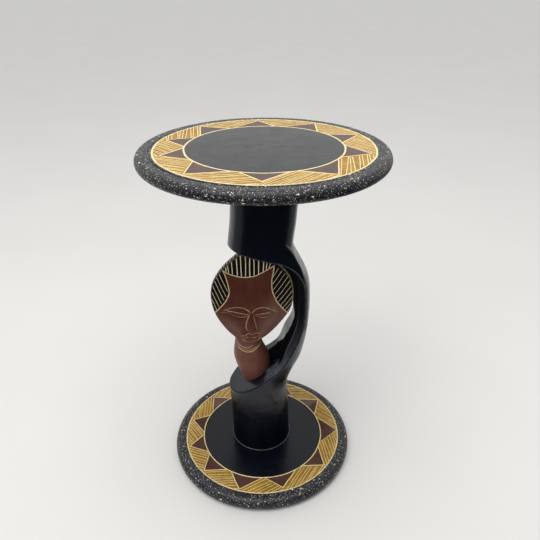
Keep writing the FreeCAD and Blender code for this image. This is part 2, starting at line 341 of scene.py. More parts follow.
def lacquer(name, dark, light, rough, waves=0.00012, carved=False, spec=0.45):
    """Hand-brushed black lacquer: slow colour and gloss changes, brush ripples and dust nibs. carved adds the
    matt chiselled hollow, the bevel inside the arm with a painted reflection in its paler streaked slate, a thin
    incised line at the seat's edge painted near black as shade, a painted highlight along the hollow's front
    edge and a painted patch of light on the seat beside the neck, from the log's own measures."""
    m, nt, b = material(name)
    v = coords(nt)
    big = noise_tex(nt, v, 14.0, 4.0, 0.55)
    mid = noise_tex(nt, v, 55.0, 3.0, 0.5, 0.3)
    brush = noise_tex(nt, coords(nt, (1, 1, 0.12)), 160.0, 3.0, 0.6, 0.4)
    colour = mixrgb(nt, big.outputs[0], dark, light)
    r = ramp(nt, mid.outputs[0], [(0.3, rough[0]), (0.7, rough[1])])
    nib = node(nt, "ShaderNodeTexVoronoi", {"Vector": v, "Scale": 120.0})
    nibs = ramp(nt, nib.outputs["Distance"], [(0.0, 1.0), (0.04, 0.5), (0.085, 0.0)])
    keep = ramp(nt, noise_tex(nt, v, 45.0, 1.0).outputs[0], [(0.64, 0.0), (0.68, 1.0)])
    n1 = bump(nt, big.outputs[0], 0.5, waves * 8)
    n1 = bump(nt, mid.outputs[0], 0.4, waves * 3, n1)
    n2 = bump(nt, brush.outputs[0], 0.10, waves, n1)
    n3 = bump(nt, maths(nt, "MULTIPLY", nibs, keep), 0.5, 0.00010, n2)
    if carved:
        dull = node(nt, "ShaderNodeAttribute", attribute_name="dull").outputs["Fac"]
        edge = node(nt, "ShaderNodeAttribute", attribute_name="edge").outputs["Fac"]
        height = node(nt, "ShaderNodeSeparateXYZ", {"Vector": v}).outputs["Z"]
        on_arm = ramp(nt, height, [(0.232, 0.0), (0.262, 1.0)])
        wander = maths(nt, "MULTIPLY", maths(nt, "SUBTRACT", noise_tex(nt, v, 110.0, 2.0).outputs[0], 0.5), 0.7)
        out = maths(nt, "ADD", edge, wander)
        e = maths(nt, "ADD", maths(nt, "MULTIPLY", out, 0.1), 0.5)
        wide = maths(nt, "ADD", maths(nt, "MULTIPLY", out, 0.03), 0.5)
        # the thin line at the seat's front edge: a shallow groove in the bump, made rough, and painted near black as
        # the shade of a small step there
        scored_and_shaded = ramp(nt, e, [(0.495, 0.0), (0.515, 1.0), (0.575, 1.0), (0.62, 0.0)])
        # a band just outside the hollow's front edge, used below as a painted highlight where that edge catches the
        # light
        worn = ramp(nt, e, [(0.37, 0.0), (0.45, 1.0), (0.50, 0.0)])
        bevel = ramp(nt, wide, [(0.525, 0.0), (0.56, 1.0), (0.87, 1.0), (0.99, 0.0)])
        bevel = maths(nt, "MULTIPLY", bevel, ramp(nt, height, [(0.155, 0.0), (0.178, 1.0), (0.225, 1.0), (0.275, 0.25)]))
        streak = ramp(nt, noise_tex(nt, coords(nt, (1.0, 0.3, 0.6), (0.0, 0.8, 0.0)), 190.0, 3.0, 0.6, 0.6).outputs[0], [(0.35, 0.45), (0.65, 1.0)])
        # the line right on the hollow's edge along the arm, used below as a painted highlight
        painted_edge_highlight = ramp(nt, e, [(0.43, 0.0), (0.465, 1.0), (0.50, 1.0), (0.53, 0.0)])
        painted_edge_highlight = maths(nt, "MULTIPLY", maths(nt, "MULTIPLY", painted_edge_highlight, on_arm), ramp(nt, noise_tex(nt, v, 90.0, 3.0).outputs[0], [(0.36, 0.15), (0.60, 1.0)]))
        dull = maths(nt, "MULTIPLY", dull, maths(nt, "SUBTRACT", 1.0, maths(nt, "MULTIPLY", bevel, 0.75)))
        r = mixrgb(nt, dull, r, (0.55, 0.55, 0.55))
        r = mixrgb(nt, scored_and_shaded, r, (0.95, 0.95, 0.95))
        r = mixrgb(nt, bevel, r, (0.42, 0.42, 0.42))
        # painted highlight: a lighter blue-grey band just outside the hollow's front edge
        colour = mixrgb(nt, maths(nt, "MULTIPLY", worn, 0.5), colour, (0.040, 0.046, 0.056))
        # painted reflection: the bevel inside the arm is made a paler, streaked slate
        colour = mixrgb(nt, maths(nt, "MULTIPLY", bevel, streak), colour, (0.034, 0.040, 0.052))
        place = node(nt, "ShaderNodeSeparateXYZ", {"Vector": v})
        shift = maths(nt, "MULTIPLY", maths(nt, "SUBTRACT", noise_tex(nt, v, 70.0, 2.0).outputs[0], 0.5), 0.010)
        back = maths(nt, "ADD", maths(nt, "ADD", place.outputs["Y"], shift), 0.5)
        right = maths(nt, "ADD", maths(nt, "ADD", place.outputs["X"], shift), 0.5)
        # painted light: a paler slate patch on the seat beside the neck's right foot, which lies in the neck's shadow
        painted_light_by_neck = ramp(nt, height, [(0.156, 0.0), (0.166, 1.0), (0.186, 1.0), (0.214, 0.0)])
        painted_light_by_neck = maths(nt, "MULTIPLY", painted_light_by_neck, ramp(nt, wide, [(0.525, 0.0), (0.56, 1.0)]))
        painted_light_by_neck = maths(nt, "MULTIPLY", painted_light_by_neck, ramp(nt, back, [(0.481, 1.0), (0.488, 0.0)]))
        painted_light_by_neck = maths(nt, "MULTIPLY", painted_light_by_neck, ramp(nt, right, [(0.496, 0.0), (0.503, 1.0)]))
        colour = mixrgb(nt, maths(nt, "MULTIPLY", painted_light_by_neck, ramp(nt, streak, [(0.45, 0.35), (1.0, 0.95)])), colour, (0.125, 0.147, 0.176))
        # painted shade: the line at the seat's edge is made near black, less so on the arm
        colour = mixrgb(nt, maths(nt, "MULTIPLY", scored_and_shaded, maths(nt, "SUBTRACT", 1.0, maths(nt, "MULTIPLY", on_arm, 0.7))), colour, (0.0006, 0.0007, 0.0011))
        # painted highlight: a pale blue-grey line right on the hollow's edge along the arm
        colour = mixrgb(nt, maths(nt, "MULTIPLY", painted_edge_highlight, 0.9), colour, (0.20, 0.215, 0.235))
        n3 = bump(nt, maths(nt, "SUBTRACT", 1.0, scored_and_shaded), 0.8, 0.0004, n3)
        chisel = noise_tex(nt, coords(nt, (1.0, 1.0, 0.35)), 130.0, 2.0, 0.5, 0.5)
        n3 = bump(nt, maths(nt, "MULTIPLY", chisel.outputs[0], dull), 0.6, 0.0006, n3)
        matt = node(nt, "ShaderNodeBsdfPrincipled", {"Roughness": 0.8, "Specular IOR Level": 0.0, "Normal": n3})
        nt.links.new(mixrgb(nt, chisel.outputs[0], (0.0012, 0.0016, 0.0026), (0.0032, 0.0040, 0.0058)), matt.inputs["Base Color"])
        damp = maths(nt, "MULTIPLY", maths(nt, "SUBTRACT", noise_tex(nt, v, 22.0, 1.0).outputs[0], 0.5), 0.020)
        foot = ramp(nt, maths(nt, "ADD", height, damp), [(0.050, 0.72), (0.102, 0.0)])
        matted = maths(nt, "MAXIMUM", maths(nt, "MULTIPLY", dull, 0.97), foot)
        both = node(nt, "ShaderNodeMixShader", {0: matted, 1: b.outputs[0], 2: matt.outputs[0]})
        nt.links.new(both.outputs[0], [n for n in nt.nodes if n.type == "OUTPUT_MATERIAL"][0].inputs[0])
    nt.links.new(colour, b.inputs["Base Color"])
    nt.links.new(r, b.inputs["Roughness"])
    nt.links.new(n3, b.inputs["Normal"])
    b.inputs["Specular IOR Level"].default_value = spec
    b.inputs["IOR"].default_value = 1.5
    return m


def paint(name, colours, rough, scale, bump_mm, streak=(1, 1, 1), metallic=0.0, coat=0.0, spec=0.5, nape=None, cheek_sheen=False):
    """Hand paint over carved wood: mottled pigment, streaks and worn, darker places. nape paints the hair's
    black above that height, with a gold line along its lower edge. cheeks lays a paler, greyer painted
    sheen on the lower cheeks, where they catch the light."""
    m, nt, b = material(name)
    v = coords(nt)
    n1 = noise_tex(nt, v, scale, 5.0, 0.62)
    n2 = noise_tex(nt, coords(nt, streak), scale * 4.0, 4.0, 0.6, 0.6)
    c = ramp(nt, n1.outputs[0], [(0.28, colours[0]), (0.5, colours[1]), (0.74, colours[2])])
    c = mixrgb(nt, ramp(nt, n2.outputs[0], [(0.35, 0.55), (0.65, 0.0)]), c, colours[0])
    if nape is not None:
        height = node(nt, "ShaderNodeSeparateXYZ", {"Vector": v}).outputs["Z"]
        shift = maths(nt, "MULTIPLY", maths(nt, "SUBTRACT", noise_tex(nt, v, 120.0, 2.0).outputs[0], 0.5), 0.0006)
        over = maths(nt, "ADD", maths(nt, "MULTIPLY", maths(nt, "SUBTRACT", maths(nt, "ADD", height, shift), nape), 100.0), 0.5)
        c = mixrgb(nt, ramp(nt, over, [(0.50, 0.0), (0.515, 1.0)]), c, (0.80, 0.68, 0.44))
        c = mixrgb(nt, ramp(nt, over, [(0.61, 0.0), (0.625, 1.0)]), c, (0.004, 0.0038, 0.0036))
    if cheek_sheen:
        place = node(nt, "ShaderNodeSeparateXYZ", {"Vector": v})
        height = place.outputs["Z"]
        across = maths(nt, "ADD", place.outputs["X"], 0.0217)
        half = maths(nt, "MINIMUM", maths(nt, "ADD", maths(nt, "MULTIPLY", maths(nt, "SUBTRACT", height, 0.228), 0.75), 0.012), 0.056)
        part = maths(nt, "DIVIDE", across, half)
        cloud = maths(nt, "MULTIPLY", maths(nt, "SUBTRACT", noise_tex(nt, v, 55.0, 2.0).outputs[0], 0.5), 0.25)
        right = ramp(nt, maths(nt, "ADD", part, cloud), [(0.26, 0.0), (0.60, 0.95), (0.80, 0.55)])
        left = ramp(nt, maths(nt, "SUBTRACT", cloud, part), [(0.32, 0.0), (0.66, 0.95), (0.85, 0.65)])
        right = maths(nt, "MULTIPLY", right, ramp(nt, height, [(0.296, 1.0), (0.322, 0.0)]))
        left = maths(nt, "MULTIPLY", left, ramp(nt, height, [(0.262, 0.85), (0.294, 0.0)]))
        # painted sheen: the lower cheeks are made paler and greyer, as if catching the light
        c = mixrgb(nt, maths(nt, "MULTIPLY", maths(nt, "MAXIMUM", right, left), 0.9), c, (0.165, 0.083, 0.066))
    nt.links.new(c, b.inputs["Base Color"])
    nt.links.new(ramp(nt, n2.outputs[0], [(0.3, rough[0]), (0.7, rough[1])]), b.inputs["Roughness"])
    nt.links.new(bump(nt, n2.outputs[0], 0.6, bump_mm * 0.001, bump(nt, n1.outputs[0], 0.5, bump_mm * 0.002)), b.inputs["Normal"])
    b.inputs["Metallic"].default_value = metallic
    b.inputs["Coat Weight"].default_value = coat
    b.inputs["Coat Roughness"].default_value = 0.2
    b.inputs["Specular IOR Level"].default_value = spec
    return m


def speckled(name):
    """Black rim paint spattered with cream, white and gold: dashes that ran a little along the rim, round
    dots, and a fine grey dust, denser on the upward shoulder, that also paints the shoulder's sheen and the
    darker downward side."""
    m, nt, b = material(name)
    v = coords(nt)
    wob = noise_tex(nt, v, 800.0, 2.0)
    off = node(nt, "ShaderNodeVectorMath", {0: wob.outputs["Color"], 1: (0.5, 0.5, 0.5)}, operation="SUBTRACT")
    off = node(nt, "ShaderNodeVectorMath", {0: off.outputs[0], 3: 0.0026}, operation="SCALE")
    vv = node(nt, "ShaderNodeVectorMath", {0: v, 1: off.outputs[0]}, operation="ADD").outputs[0]
    part = node(nt, "ShaderNodeSeparateXYZ", {"Vector": vv})
    arc = maths(nt, "MULTIPLY", maths(nt, "ARCTAN2", part.outputs["X"], maths(nt, "MULTIPLY", part.outputs["Y"], -1.0)), 0.155)
    reach = maths(nt, "SQRT", maths(nt, "ADD", maths(nt, "MULTIPLY", part.outputs["X"], part.outputs["X"]), maths(nt, "MULTIPLY", part.outputs["Y"], part.outputs["Y"])))
    ran = node(nt, "ShaderNodeCombineXYZ", {"X": maths(nt, "MULTIPLY", arc, 0.43), "Y": reach, "Z": part.outputs["Z"]}).outputs[0]
    base = mixrgb(nt, noise_tex(nt, v, 60.0, 4.0).outputs[0], (0.005, 0.006, 0.010), (0.020, 0.021, 0.027))
    up_face = node(nt, "ShaderNodeSeparateXYZ", {"Vector": node(nt, "ShaderNodeNewGeometry").outputs["Normal"]}).outputs["Z"]
    # grey flecks gather on upward faces and thin out on downward ones: spatter, and also a painted sheen on the
    # shoulder with painted shade below
    shoulder = ramp(nt, up_face, [(0.0, 0.45), (0.6, 0.70), (1.0, 1.0)])
    thin = ramp(nt, node(nt, "ShaderNodeSeparateXYZ", {"Vector": v}).outputs["Z"], [(0.05, 0.72), (0.10, 1.0)])
    shoulder = maths(nt, "MULTIPLY", shoulder, thin)
    patch = maths(nt, "MULTIPLY", ramp(nt, noise_tex(nt, v, 30.0, 2.0).outputs[0], [(0.3, 0.60), (0.7, 1.0)]), thin)
    masks = []
    for where, scale, r0, r1, share, how, colours in (
            (ran, 300.0, 0.11, 0.21, 0.35, patch, [(0.78, 0.64, 0.30), (0.90, 0.82, 0.56), (0.91, 0.88, 0.76)]),
            (vv, 500.0, 0.13, 0.20, 0.48, patch, [(0.74, 0.71, 0.62), (0.90, 0.88, 0.80), (0.76, 0.61, 0.30)]),
            (vv, 680.0, 0.14, 0.24, 0.46, shoulder, [(0.58, 0.57, 0.54), (0.85, 0.84, 0.80), (0.36, 0.36, 0.36)]),
            (vv, 1200.0, 0.20, 0.22, 0.40, shoulder, [(0.20, 0.20, 0.20), (0.42, 0.42, 0.41), (0.12, 0.12, 0.13)])):
        vo = node(nt, "ShaderNodeTexVoronoi", {"Vector": where, "Scale": scale, "Randomness": 1.0})
        sep = node(nt, "ShaderNodeSeparateColor", {"Color": vo.outputs["Color"]})
        radius = maths(nt, "ADD", maths(nt, "MULTIPLY", sep.outputs[1], r1), r0)
        near = ramp(nt, maths(nt, "DIVIDE", vo.outputs["Distance"], radius), [(0.80, 1.0), (1.0, 0.0)])
        chosen = maths(nt, "LESS_THAN", sep.outputs[0], maths(nt, "MULTIPLY", how, share))
        mk = maths(nt, "MULTIPLY", near, chosen)
        col = ramp(nt, sep.outputs[2], [(0.0, colours[0]), (0.35, colours[1]), (0.7, colours[2])], "CONSTANT")
        base = mixrgb(nt, mk, base, col)
        masks.append(mk)
    nt.links.new(base, b.inputs["Base Color"])
    up = maths(nt, "MAXIMUM", masks[0], masks[1])
    grit = noise_tex(nt, v, 700.0, 3.0)
    nt.links.new(bump(nt, up, 0.5, 0.00018, bump(nt, grit.outputs[0], 0.5, 0.00022)), b.inputs["Normal"])
    nt.links.new(ramp(nt, grit.outputs[0], [(0.3, 0.32), (0.7, 0.48)]), b.inputs["Roughness"])
    b.inputs["Specular IOR Level"].default_value = 0.36
    return m


def bare_wood(name, light, dark, rough=0.6):
    m, nt, b = material(name)
    v = coords(nt, (1, 1, 0.08))
    n = noise_tex(nt, v, 220.0, 5.0, 0.6, 0.8)
    nt.links.new(ramp(nt, n.outputs[0], [(0.3, dark), (0.7, light)]), b.inputs["Base Color"])
    nt.links.new(ramp(nt, n.outputs[0], [(0.3, rough - 0.1), (0.7, rough + 0.1)]), b.inputs["Roughness"])
    nt.links.new(bump(nt, n.outputs[0], 0.5, 0.0002), b.inputs["Normal"])
    return m


def plated_steel(name):
    m, nt, b = material(name)
    v = coords(nt)
    n = noise_tex(nt, v, 500.0, 3.0)
    nt.links.new(mixrgb(nt, n.outputs[0], (0.50, 0.47, 0.40), (0.68, 0.66, 0.62)), b.inputs["Base Color"])
    nt.links.new(ramp(nt, n.outputs[0], [(0.3, 0.28), (0.7, 0.42)]), b.inputs["Roughness"])
    w = node(nt, "ShaderNodeTexWave", {"Vector": coords(nt), "Scale": 260.0}, bands_direction="Z")
    nt.links.new(bump(nt, w.outputs["Fac"], 0.5, 0.0004), b.inputs["Normal"])
    b.inputs["Metallic"].default_value = 1.0
    return m


MAT = {
    "black": lacquer("black_lacquer", (0.0018, 0.0036, 0.0086), (0.0036, 0.0062, 0.0132), (0.18, 0.27), carved=True, spec=0.45),
    "disc_black": lacquer("black_lacquer_disc", (0.0030, 0.0042, 0.0080), (0.0055, 0.0070, 0.0110), (0.23, 0.32), waves=0.00008, spec=0.60),
    "base_black": lacquer("black_lacquer_base", (0.0007, 0.0014, 0.0052), (0.0015, 0.0026, 0.0082), (0.22, 0.31), waves=0.00008, spec=0.38),
    "rim": speckled("speckled_rim"),
    "ochre": paint("ochre_paint", [(0.24, 0.112, 0.007), (0.455, 0.255, 0.028), (0.58, 0.36, 0.060)], (0.42, 0.60), 70.0, 0.10),
    # painted shade: the base's ochre is a darker copy of the top's, for the shade the base lies in under the top
    "base_ochre_painted_shade": paint("ochre_paint_base_painted_shade", [(0.19, 0.091, 0.004), (0.375, 0.208, 0.014), (0.48, 0.284, 0.028)], (0.42, 0.60), 70.0, 0.10),
    "gold": paint("gold_line_paint", [(0.72, 0.55, 0.25), (0.92, 0.81, 0.49), (0.95, 0.88, 0.63)], (0.38, 0.55), 240.0, 0.08),
    # painted shade: the base's gold is a darker copy of the top's gold, for the same reason
    "base_gold_painted_shade": paint("gold_line_paint_base_painted_shade", [(0.56, 0.41, 0.16), (0.79, 0.65, 0.34), (0.87, 0.76, 0.48)], (0.38, 0.55), 240.0, 0.08),
    "hair_gold": paint("hair_line_paint", [(0.66, 0.56, 0.36), (0.91, 0.83, 0.62), (0.95, 0.90, 0.75)], (0.40, 0.58), 260.0, 0.08),
    "outline_gold": paint("outline_paint", [(0.44, 0.32, 0.13), (0.74, 0.60, 0.33), (0.85, 0.74, 0.48)], (0.40, 0.58), 260.0, 0.08),
    "rim_gold": paint("head_edge_paint", [(0.055, 0.045, 0.018), (0.24, 0.20, 0.095), (0.52, 0.46, 0.26)], (0.40, 0.58), 420.0, 0.14),
    "worn_gold": paint("worn_line_paint", [(0.25, 0.135, 0.075), (0.52, 0.36, 0.21), (0.68, 0.54, 0.36)], (0.40, 0.58), 330.0, 0.08, spec=0.30),
    "collar_gold": paint("collar_line_paint", [(0.42, 0.28, 0.15), (0.68, 0.53, 0.33), (0.80, 0.68, 0.48)], (0.40, 0.58), 330.0, 0.08, spec=0.35),
    "brown": paint("brown_paint", [(0.066, 0.029, 0.022), (0.098, 0.046, 0.034), (0.128, 0.062, 0.047)], (0.30, 0.42), 60.0, 0.05),
    "face": paint("face_stain", [(0.064, 0.0145, 0.0080), (0.098, 0.0245, 0.0140), (0.128, 0.0390, 0.0250)], (0.30, 0.42), 26.0, 0.06, (1, 1, 0.2), spec=0.22, cheek_sheen=True),
    "jaw": paint("jaw_stain", [(0.064, 0.0145, 0.0080), (0.098, 0.0245, 0.0140), (0.128, 0.0390, 0.0250)], (0.30, 0.42), 26.0, 0.06, (1, 1, 0.2), spec=0.24, nape=0.2850),
    "lip": paint("lip_stain", [(0.078, 0.020, 0.012), (0.118, 0.034, 0.021), (0.155, 0.052, 0.035)], (0.28, 0.40), 40.0, 0.05, (1, 1, 0.3), spec=0.30),
    "neck": paint("neck_stain", [(0.112, 0.036, 0.023), (0.168, 0.060, 0.040), (0.214, 0.085, 0.060)], (0.34, 0.48), 22.0, 0.06, (1, 1, 0.2), spec=0.36),
    "hair": paint("hair_black", [(0.0020, 0.0018, 0.0018), (0.0042, 0.0036, 0.0034), (0.0090, 0.0075, 0.0066)], (0.36, 0.52), 90.0, 0.05, spec=0.20),
    "plug": lacquer("filler_lacquer", (0.0030, 0.0042, 0.0080), (0.0065, 0.0078, 0.0120), (0.27, 0.35), spec=0.50),
    # the bead's paler grey stands in for the highlight along the log's foot: a painted highlight
    "bead": lacquer("bead_lacquer_painted_highlight", (0.040, 0.043, 0.050), (0.070, 0.074, 0.084), (0.14, 0.20)),
    "dowel": bare_wood("dowel_wood", (0.55, 0.38, 0.20), (0.36, 0.22, 0.10)),
    "steel": plated_steel("screw_steel"),
}


# ---------------------------------------------------------------- carved log
lower_x = pchip(column_of(LOWER_AXIS, 0), column_of(LOWER_AXIS, 1))
upper_x = pchip(column_of(UPPER_AXIS, 0), column_of(UPPER_AXIS, 1))
arm_at = [pchip(column_of(ARM, 0), column_of(ARM, k)) for k in range(1, 6)]


def edge_curve():
    e = np.array(EDGE, float)
    t = along(e[:, [0, 2]])
    fx, fy, fz = (pchip(t, e[:, k]) for k in range(3))
    n = 900
    s = np.linspace(0, t[-1], n)
    p = np.stack([fx(s), fy(s), fz(s)], 1)
    w = np.hanning(31)[1:-1]
    w /= w.sum()
    k = len(w) // 2
    for c in range(3):
        a = p[:, c]
        pad = np.r_[2 * a[0] - a[k:0:-1], a, 2 * a[-1] - a[-2:-k - 2:-1]]
        p[:, c] = np.convolve(pad, w, "valid")
    dx, dz = np.gradient(p[:, 0]), np.gradient(p[:, 2])
    d = np.hypot(dx, dz)
    first = s <= t[EDGE_TURN]
    x, z = p[:, 0], p[:, 2]
    arm1, arm2 = smooth01((z - 180.0) / 35.0), smooth01((x - 5.0) / 53.0)
    inset = np.where(first, 8.0 * arm1, 8.0 * arm2 + 2.0 * (1 - arm2))
    slant = np.where(first, 8.0 * smooth01((z - 230.0) / 60.0) + 10.0 * smooth01((z - 270.0) / 50.0),
                     8.0 * arm2 + 3.0 * (1 - arm2) + 10.0 * (0.41 + 0.59 * smooth01((z - 292.0) / 35.0)) * smooth01((x - 22.0) / 30.0))
    ease = np.hanning(33)[1:-1]
    ease /= ease.sum()
    half = len(ease) // 2
    inset, slant = (np.convolve(np.pad(q, half, "edge"), ease, "valid") for q in (inset, slant))
    return p, dz / d, -dx / d, inset, slant


EDGE_P, EDGE_NX, EDGE_NZ, EDGE_IN, EDGE_SL = edge_curve()


def hollow_curve(y):
    s = y - EDGE_P[:, 1]
    d = EDGE_IN * smooth01(s / 9.0) + EDGE_SL * np.clip(s / 75.0, 0, 1.2)
    return EDGE_P[:, 0] - EDGE_NX * d, EDGE_P[:, 2] - EDGE_NZ * d


def hollow_distance(xs, ys, zs, near):
    """Signed distance in each y plane to the hollow's outline, negative in the hollow. near picks the points worth the work."""
    g = np.full(near.shape, -30.0, np.float32)
    coarse = 12
    for j, y in enumerate(ys):
        cx, cz = hollow_curve(y)
        ii, kk = np.nonzero(near[:, j, :])
        if len(ii) == 0:
            continue
        px, pz = xs[ii], zs[kk]
        m = np.arange(0, len(cx), coarse)
        d2 = (px[:, None] - cx[m]) ** 2 + (pz[:, None] - cz[m]) ** 2
        c0 = m[d2.argmin(1)]
        seg = np.clip(c0[:, None] + np.arange(-coarse, coarse), 0, len(cx) - 2)
        ax, az = cx[seg], cz[seg]
        bx, bz = cx[seg + 1] - ax, cz[seg + 1] - az
        qx, qz = px[:, None] - ax, pz[:, None] - az
        t = np.clip((qx * bx + qz * bz) / (bx * bx + bz * bz), 0, 1)
        rx, rz = qx - t * bx, qz - t * bz
        dd = rx * rx + rz * rz
        b = dd.argmin(1)
        r = np.arange(len(b))
        side = bz[r, b] * rx[r, b] - bx[r, b] * rz[r, b]
        g[ii, j, kk] = np.sqrt(dd[r, b]) * np.where(side > 0, 1, -1)
    return g


def log_field(xs, ys, zs):
    X, Y, Z = xs[:, None, None], ys[None, :, None], zs[None, None, :]
    foot = 1.1 * smooth01((24.0 - Z) / 3.0)
    low = smax(np.hypot(X - lower_x(Z), Y - CY) - LOWER_R - foot, Z - 215.0, 2.0)
    up = smax(np.hypot(X - upper_x(Z), Y - CY) - UPPER_R, 345.0 - Z, 2.0)
    xo, r, sq, bulge, rb = (f(zs)[None, None, :] for f in arm_at)
    slope_z = np.gradient(arm_at[0](zs), zs)[None, None, :]
    y = Y - CY
    ay = np.abs(y)
    front = y < 0
    root_f = np.sqrt(np.clip(r * r - ay * ay, 9.0, None))
    drop_f = (1 - sq) * (r - root_f) + sq * bulge * (ay / 35.0) ** 2
    grad_f = (1 - sq) * ay / root_f + sq * bulge * 2 * ay / 35.0 ** 2
    root_b = np.sqrt(np.clip(rb * rb - ay * ay, 9.0, None))
    drop = np.where(front, drop_f, rb - root_b)
    grad = np.where(front, grad_f, ay / root_b)
    limit = np.where(front, r - (r - ARM_FRONT) * sq, rb)
    a = (X - (xo - drop)) / np.sqrt(1 + grad ** 2 + slope_z ** 2)
    arm = smax(a, ay - limit, 2.2)
    arm = np.maximum(arm, np.maximum(ARM_LEFT - X, np.maximum(Z - 400.0, 118.0 - Z)))
    f = smin(smin(arm, low, 4.0), up, 3.0)
    outside = f.astype(np.float32)
    near = f < 5.0
    g = hollow_distance(xs, ys, zs, near)
    f = smax(f, -g, 1.3)
    f = f + np.where(near, 0.22 * noise(X, Y, Z, 26.0, 3) + 0.07 * noise(X, Y, Z, 8.0, 5), 0)
    return np.maximum(f, np.maximum(BASE_T - Z, Z - (HEIGHT - TOP_T))).astype(np.float32), outside


def sample(F, origin, h, p):
    q = (p - origin) / h
    i = np.clip(np.floor(q).astype(int), 0, np.array(F.shape) - 2)
    t = q - i
    out = 0
    for a in (0, 1):
        for b in (0, 1):
            for c in (0, 1):
                w = (t[:, 0] if a else 1 - t[:, 0]) * (t[:, 1] if b else 1 - t[:, 1]) * (t[:, 2] if c else 1 - t[:, 2])
                out = out + w * F[i[:, 0] + a, i[:, 1] + b, i[:, 2] + c]
    return out


def surface_nets(F, origin, h):
    inside = F < 0
    nx, ny, nz = F.shape
    count = np.zeros((nx - 1, ny - 1, nz - 1), np.int8)
    for a in (0, 1):
        for b in (0, 1):
            for c in (0, 1):
                count += inside[a:nx - 1 + a, b:ny - 1 + b, c:nz - 1 + c]
    ci, cj, ck = np.nonzero((count > 0) & (count < 8))
    index = np.full(count.shape, -1, np.int64)
    index[ci, cj, ck] = np.arange(len(ci))
    total, num = np.zeros((len(ci), 3)), np.zeros(len(ci))
    corners = [(a, b, c) for a in (0, 1) for b in (0, 1) for c in (0, 1)]
    val = {k: F[ci + k[0], cj + k[1], ck + k[2]].astype(float) for k in corners}
    for k in corners:
        for ax in range(3):
            if k[ax] == 0:
                k2 = tuple(1 if q == ax else k[q] for q in range(3))
                f0, f1 = val[k], val[k2]
                cross = (f0 < 0) != (f1 < 0)
                t = np.where(cross, f0 / np.where(cross, f0 - f1, 1), 0)
                p = np.tile(np.array(k, float), (len(ci), 1))
                p[:, ax] += t
                total += np.where(cross[:, None], p, 0)
                num += cross
    verts = origin + h * (np.stack([ci, cj, ck], 1) + total / num[:, None])
    quads = []
    for ax in range(3):
        u, v = (ax + 1) % 3, (ax + 2) % 3
        lo = tuple(slice(0, F.shape[q] - 1) if q == ax else slice(None) for q in range(3))
        hi = tuple(slice(1, F.shape[q]) if q == ax else slice(None) for q in range(3))
        change = inside[lo] != inside[hi]
        e = np.stack(np.nonzero(change), 1)
        ok = (e[:, u] > 0) & (e[:, v] > 0) & (e[:, u] < F.shape[u] - 1) & (e[:, v] < F.shape[v] - 1)
        e = e[ok]
        start_in = inside[e[:, 0], e[:, 1], e[:, 2]]

        def cell(du, dv):
            q = e.copy()
            q[:, u] += du
            q[:, v] += dv
            return index[q[:, 0], q[:, 1], q[:, 2]]
        q = np.stack([cell(-1, -1), cell(0, -1), cell(0, 0), cell(-1, 0)], 1)
        q[~start_in] = q[~start_in][:, ::-1]
        quads.append(q)
    return verts, np.vstack(quads)


def relax(verts, quads, F, origin, h, rounds, flat=()):
    """Evens out the net along the surface and draws it back onto the field."""
    n = len(verts)
    e = np.vstack([quads[:, [k, (k + 1) % 4]] for k in range(4)])
    e = np.vstack([e, e[:, ::-1]])
    deg = np.bincount(e[:, 0], minlength=n).astype(float)
    keep = np.zeros(n, bool)
    for z in flat:
        keep |= np.abs(verts[:, 2] - z) < 0.6 * h
    for _ in range(rounds):
        mean = np.stack([np.bincount(e[:, 0], verts[e[:, 1], k], n) for k in range(3)], 1) / deg[:, None]
        new = verts + 0.5 * (mean - verts)
        f = sample(F, origin, h, new)
        g = np.stack([sample(F, origin, h, new + np.eye(3)[k] * 0.6 * h) - sample(F, origin, h, new - np.eye(3)[k] * 0.6 * h) for k in range(3)], 1) / (1.2 * h)
        g2 = np.maximum((g ** 2).sum(1), 0.09)
        new -= np.clip(f / g2, -0.4 * h, 0.4 * h)[:, None] * g
        new[keep] = verts[keep]
        verts = new
    return verts


def build_log(h):
    xs = np.arange(-56.0 + 0.31, 78.0, h)
    ys = np.arange(-47.0 + 0.17, 56.0, h)
    zs = np.arange(BASE_T - 2.3 * h, HEIGHT - TOP_T + 3 * h, h)
    F, outside = log_field(xs, ys, zs)
    origin = np.array([xs[0], ys[0], zs[0]])
    v, q = surface_nets(F, origin, h)
    v = relax(v, q, F, origin, h, 3, (BASE_T, HEIGHT - TOP_T))
    v[:, 2] = np.clip(v[:, 2], BASE_T, HEIGHT - TOP_T)
    return v, q, sample(outside, origin, h, v)




def edge_distance(v, side):
    """Distance to the hollow's front edge, counted negative on the outside faces."""
    line = EDGE_P[(EDGE_P[:, 0] > -56) & (EDGE_P[:, 0] < 76)][::2]
    out = np.full(len(v), 30.0)
    box = (v[:, 1] < 14)
    idx = np.nonzero(box)[0]
    for c in range(0, len(idx), 3000):
        k = idx[c:c + 3000]
        d2 = ((v[k][:, None, :] - line[None]) ** 2).sum(2)
        n = d2.argmin(1)
        best = np.full(len(k), 1e9)
        for s in (-1, 0):
            i = np.clip(n + s, 0, len(line) - 2)
            a, b = line[i], line[i + 1] - line[i]
            t = np.clip(((v[k] - a) * b).sum(1) / (b * b).sum(1), 0, 1)
            best = np.minimum(best, np.linalg.norm(v[k] - a - t[:, None] * b, axis=1))
        out[k] = best
    return np.clip(out, 0, 30) * np.where(side, 1, -1)


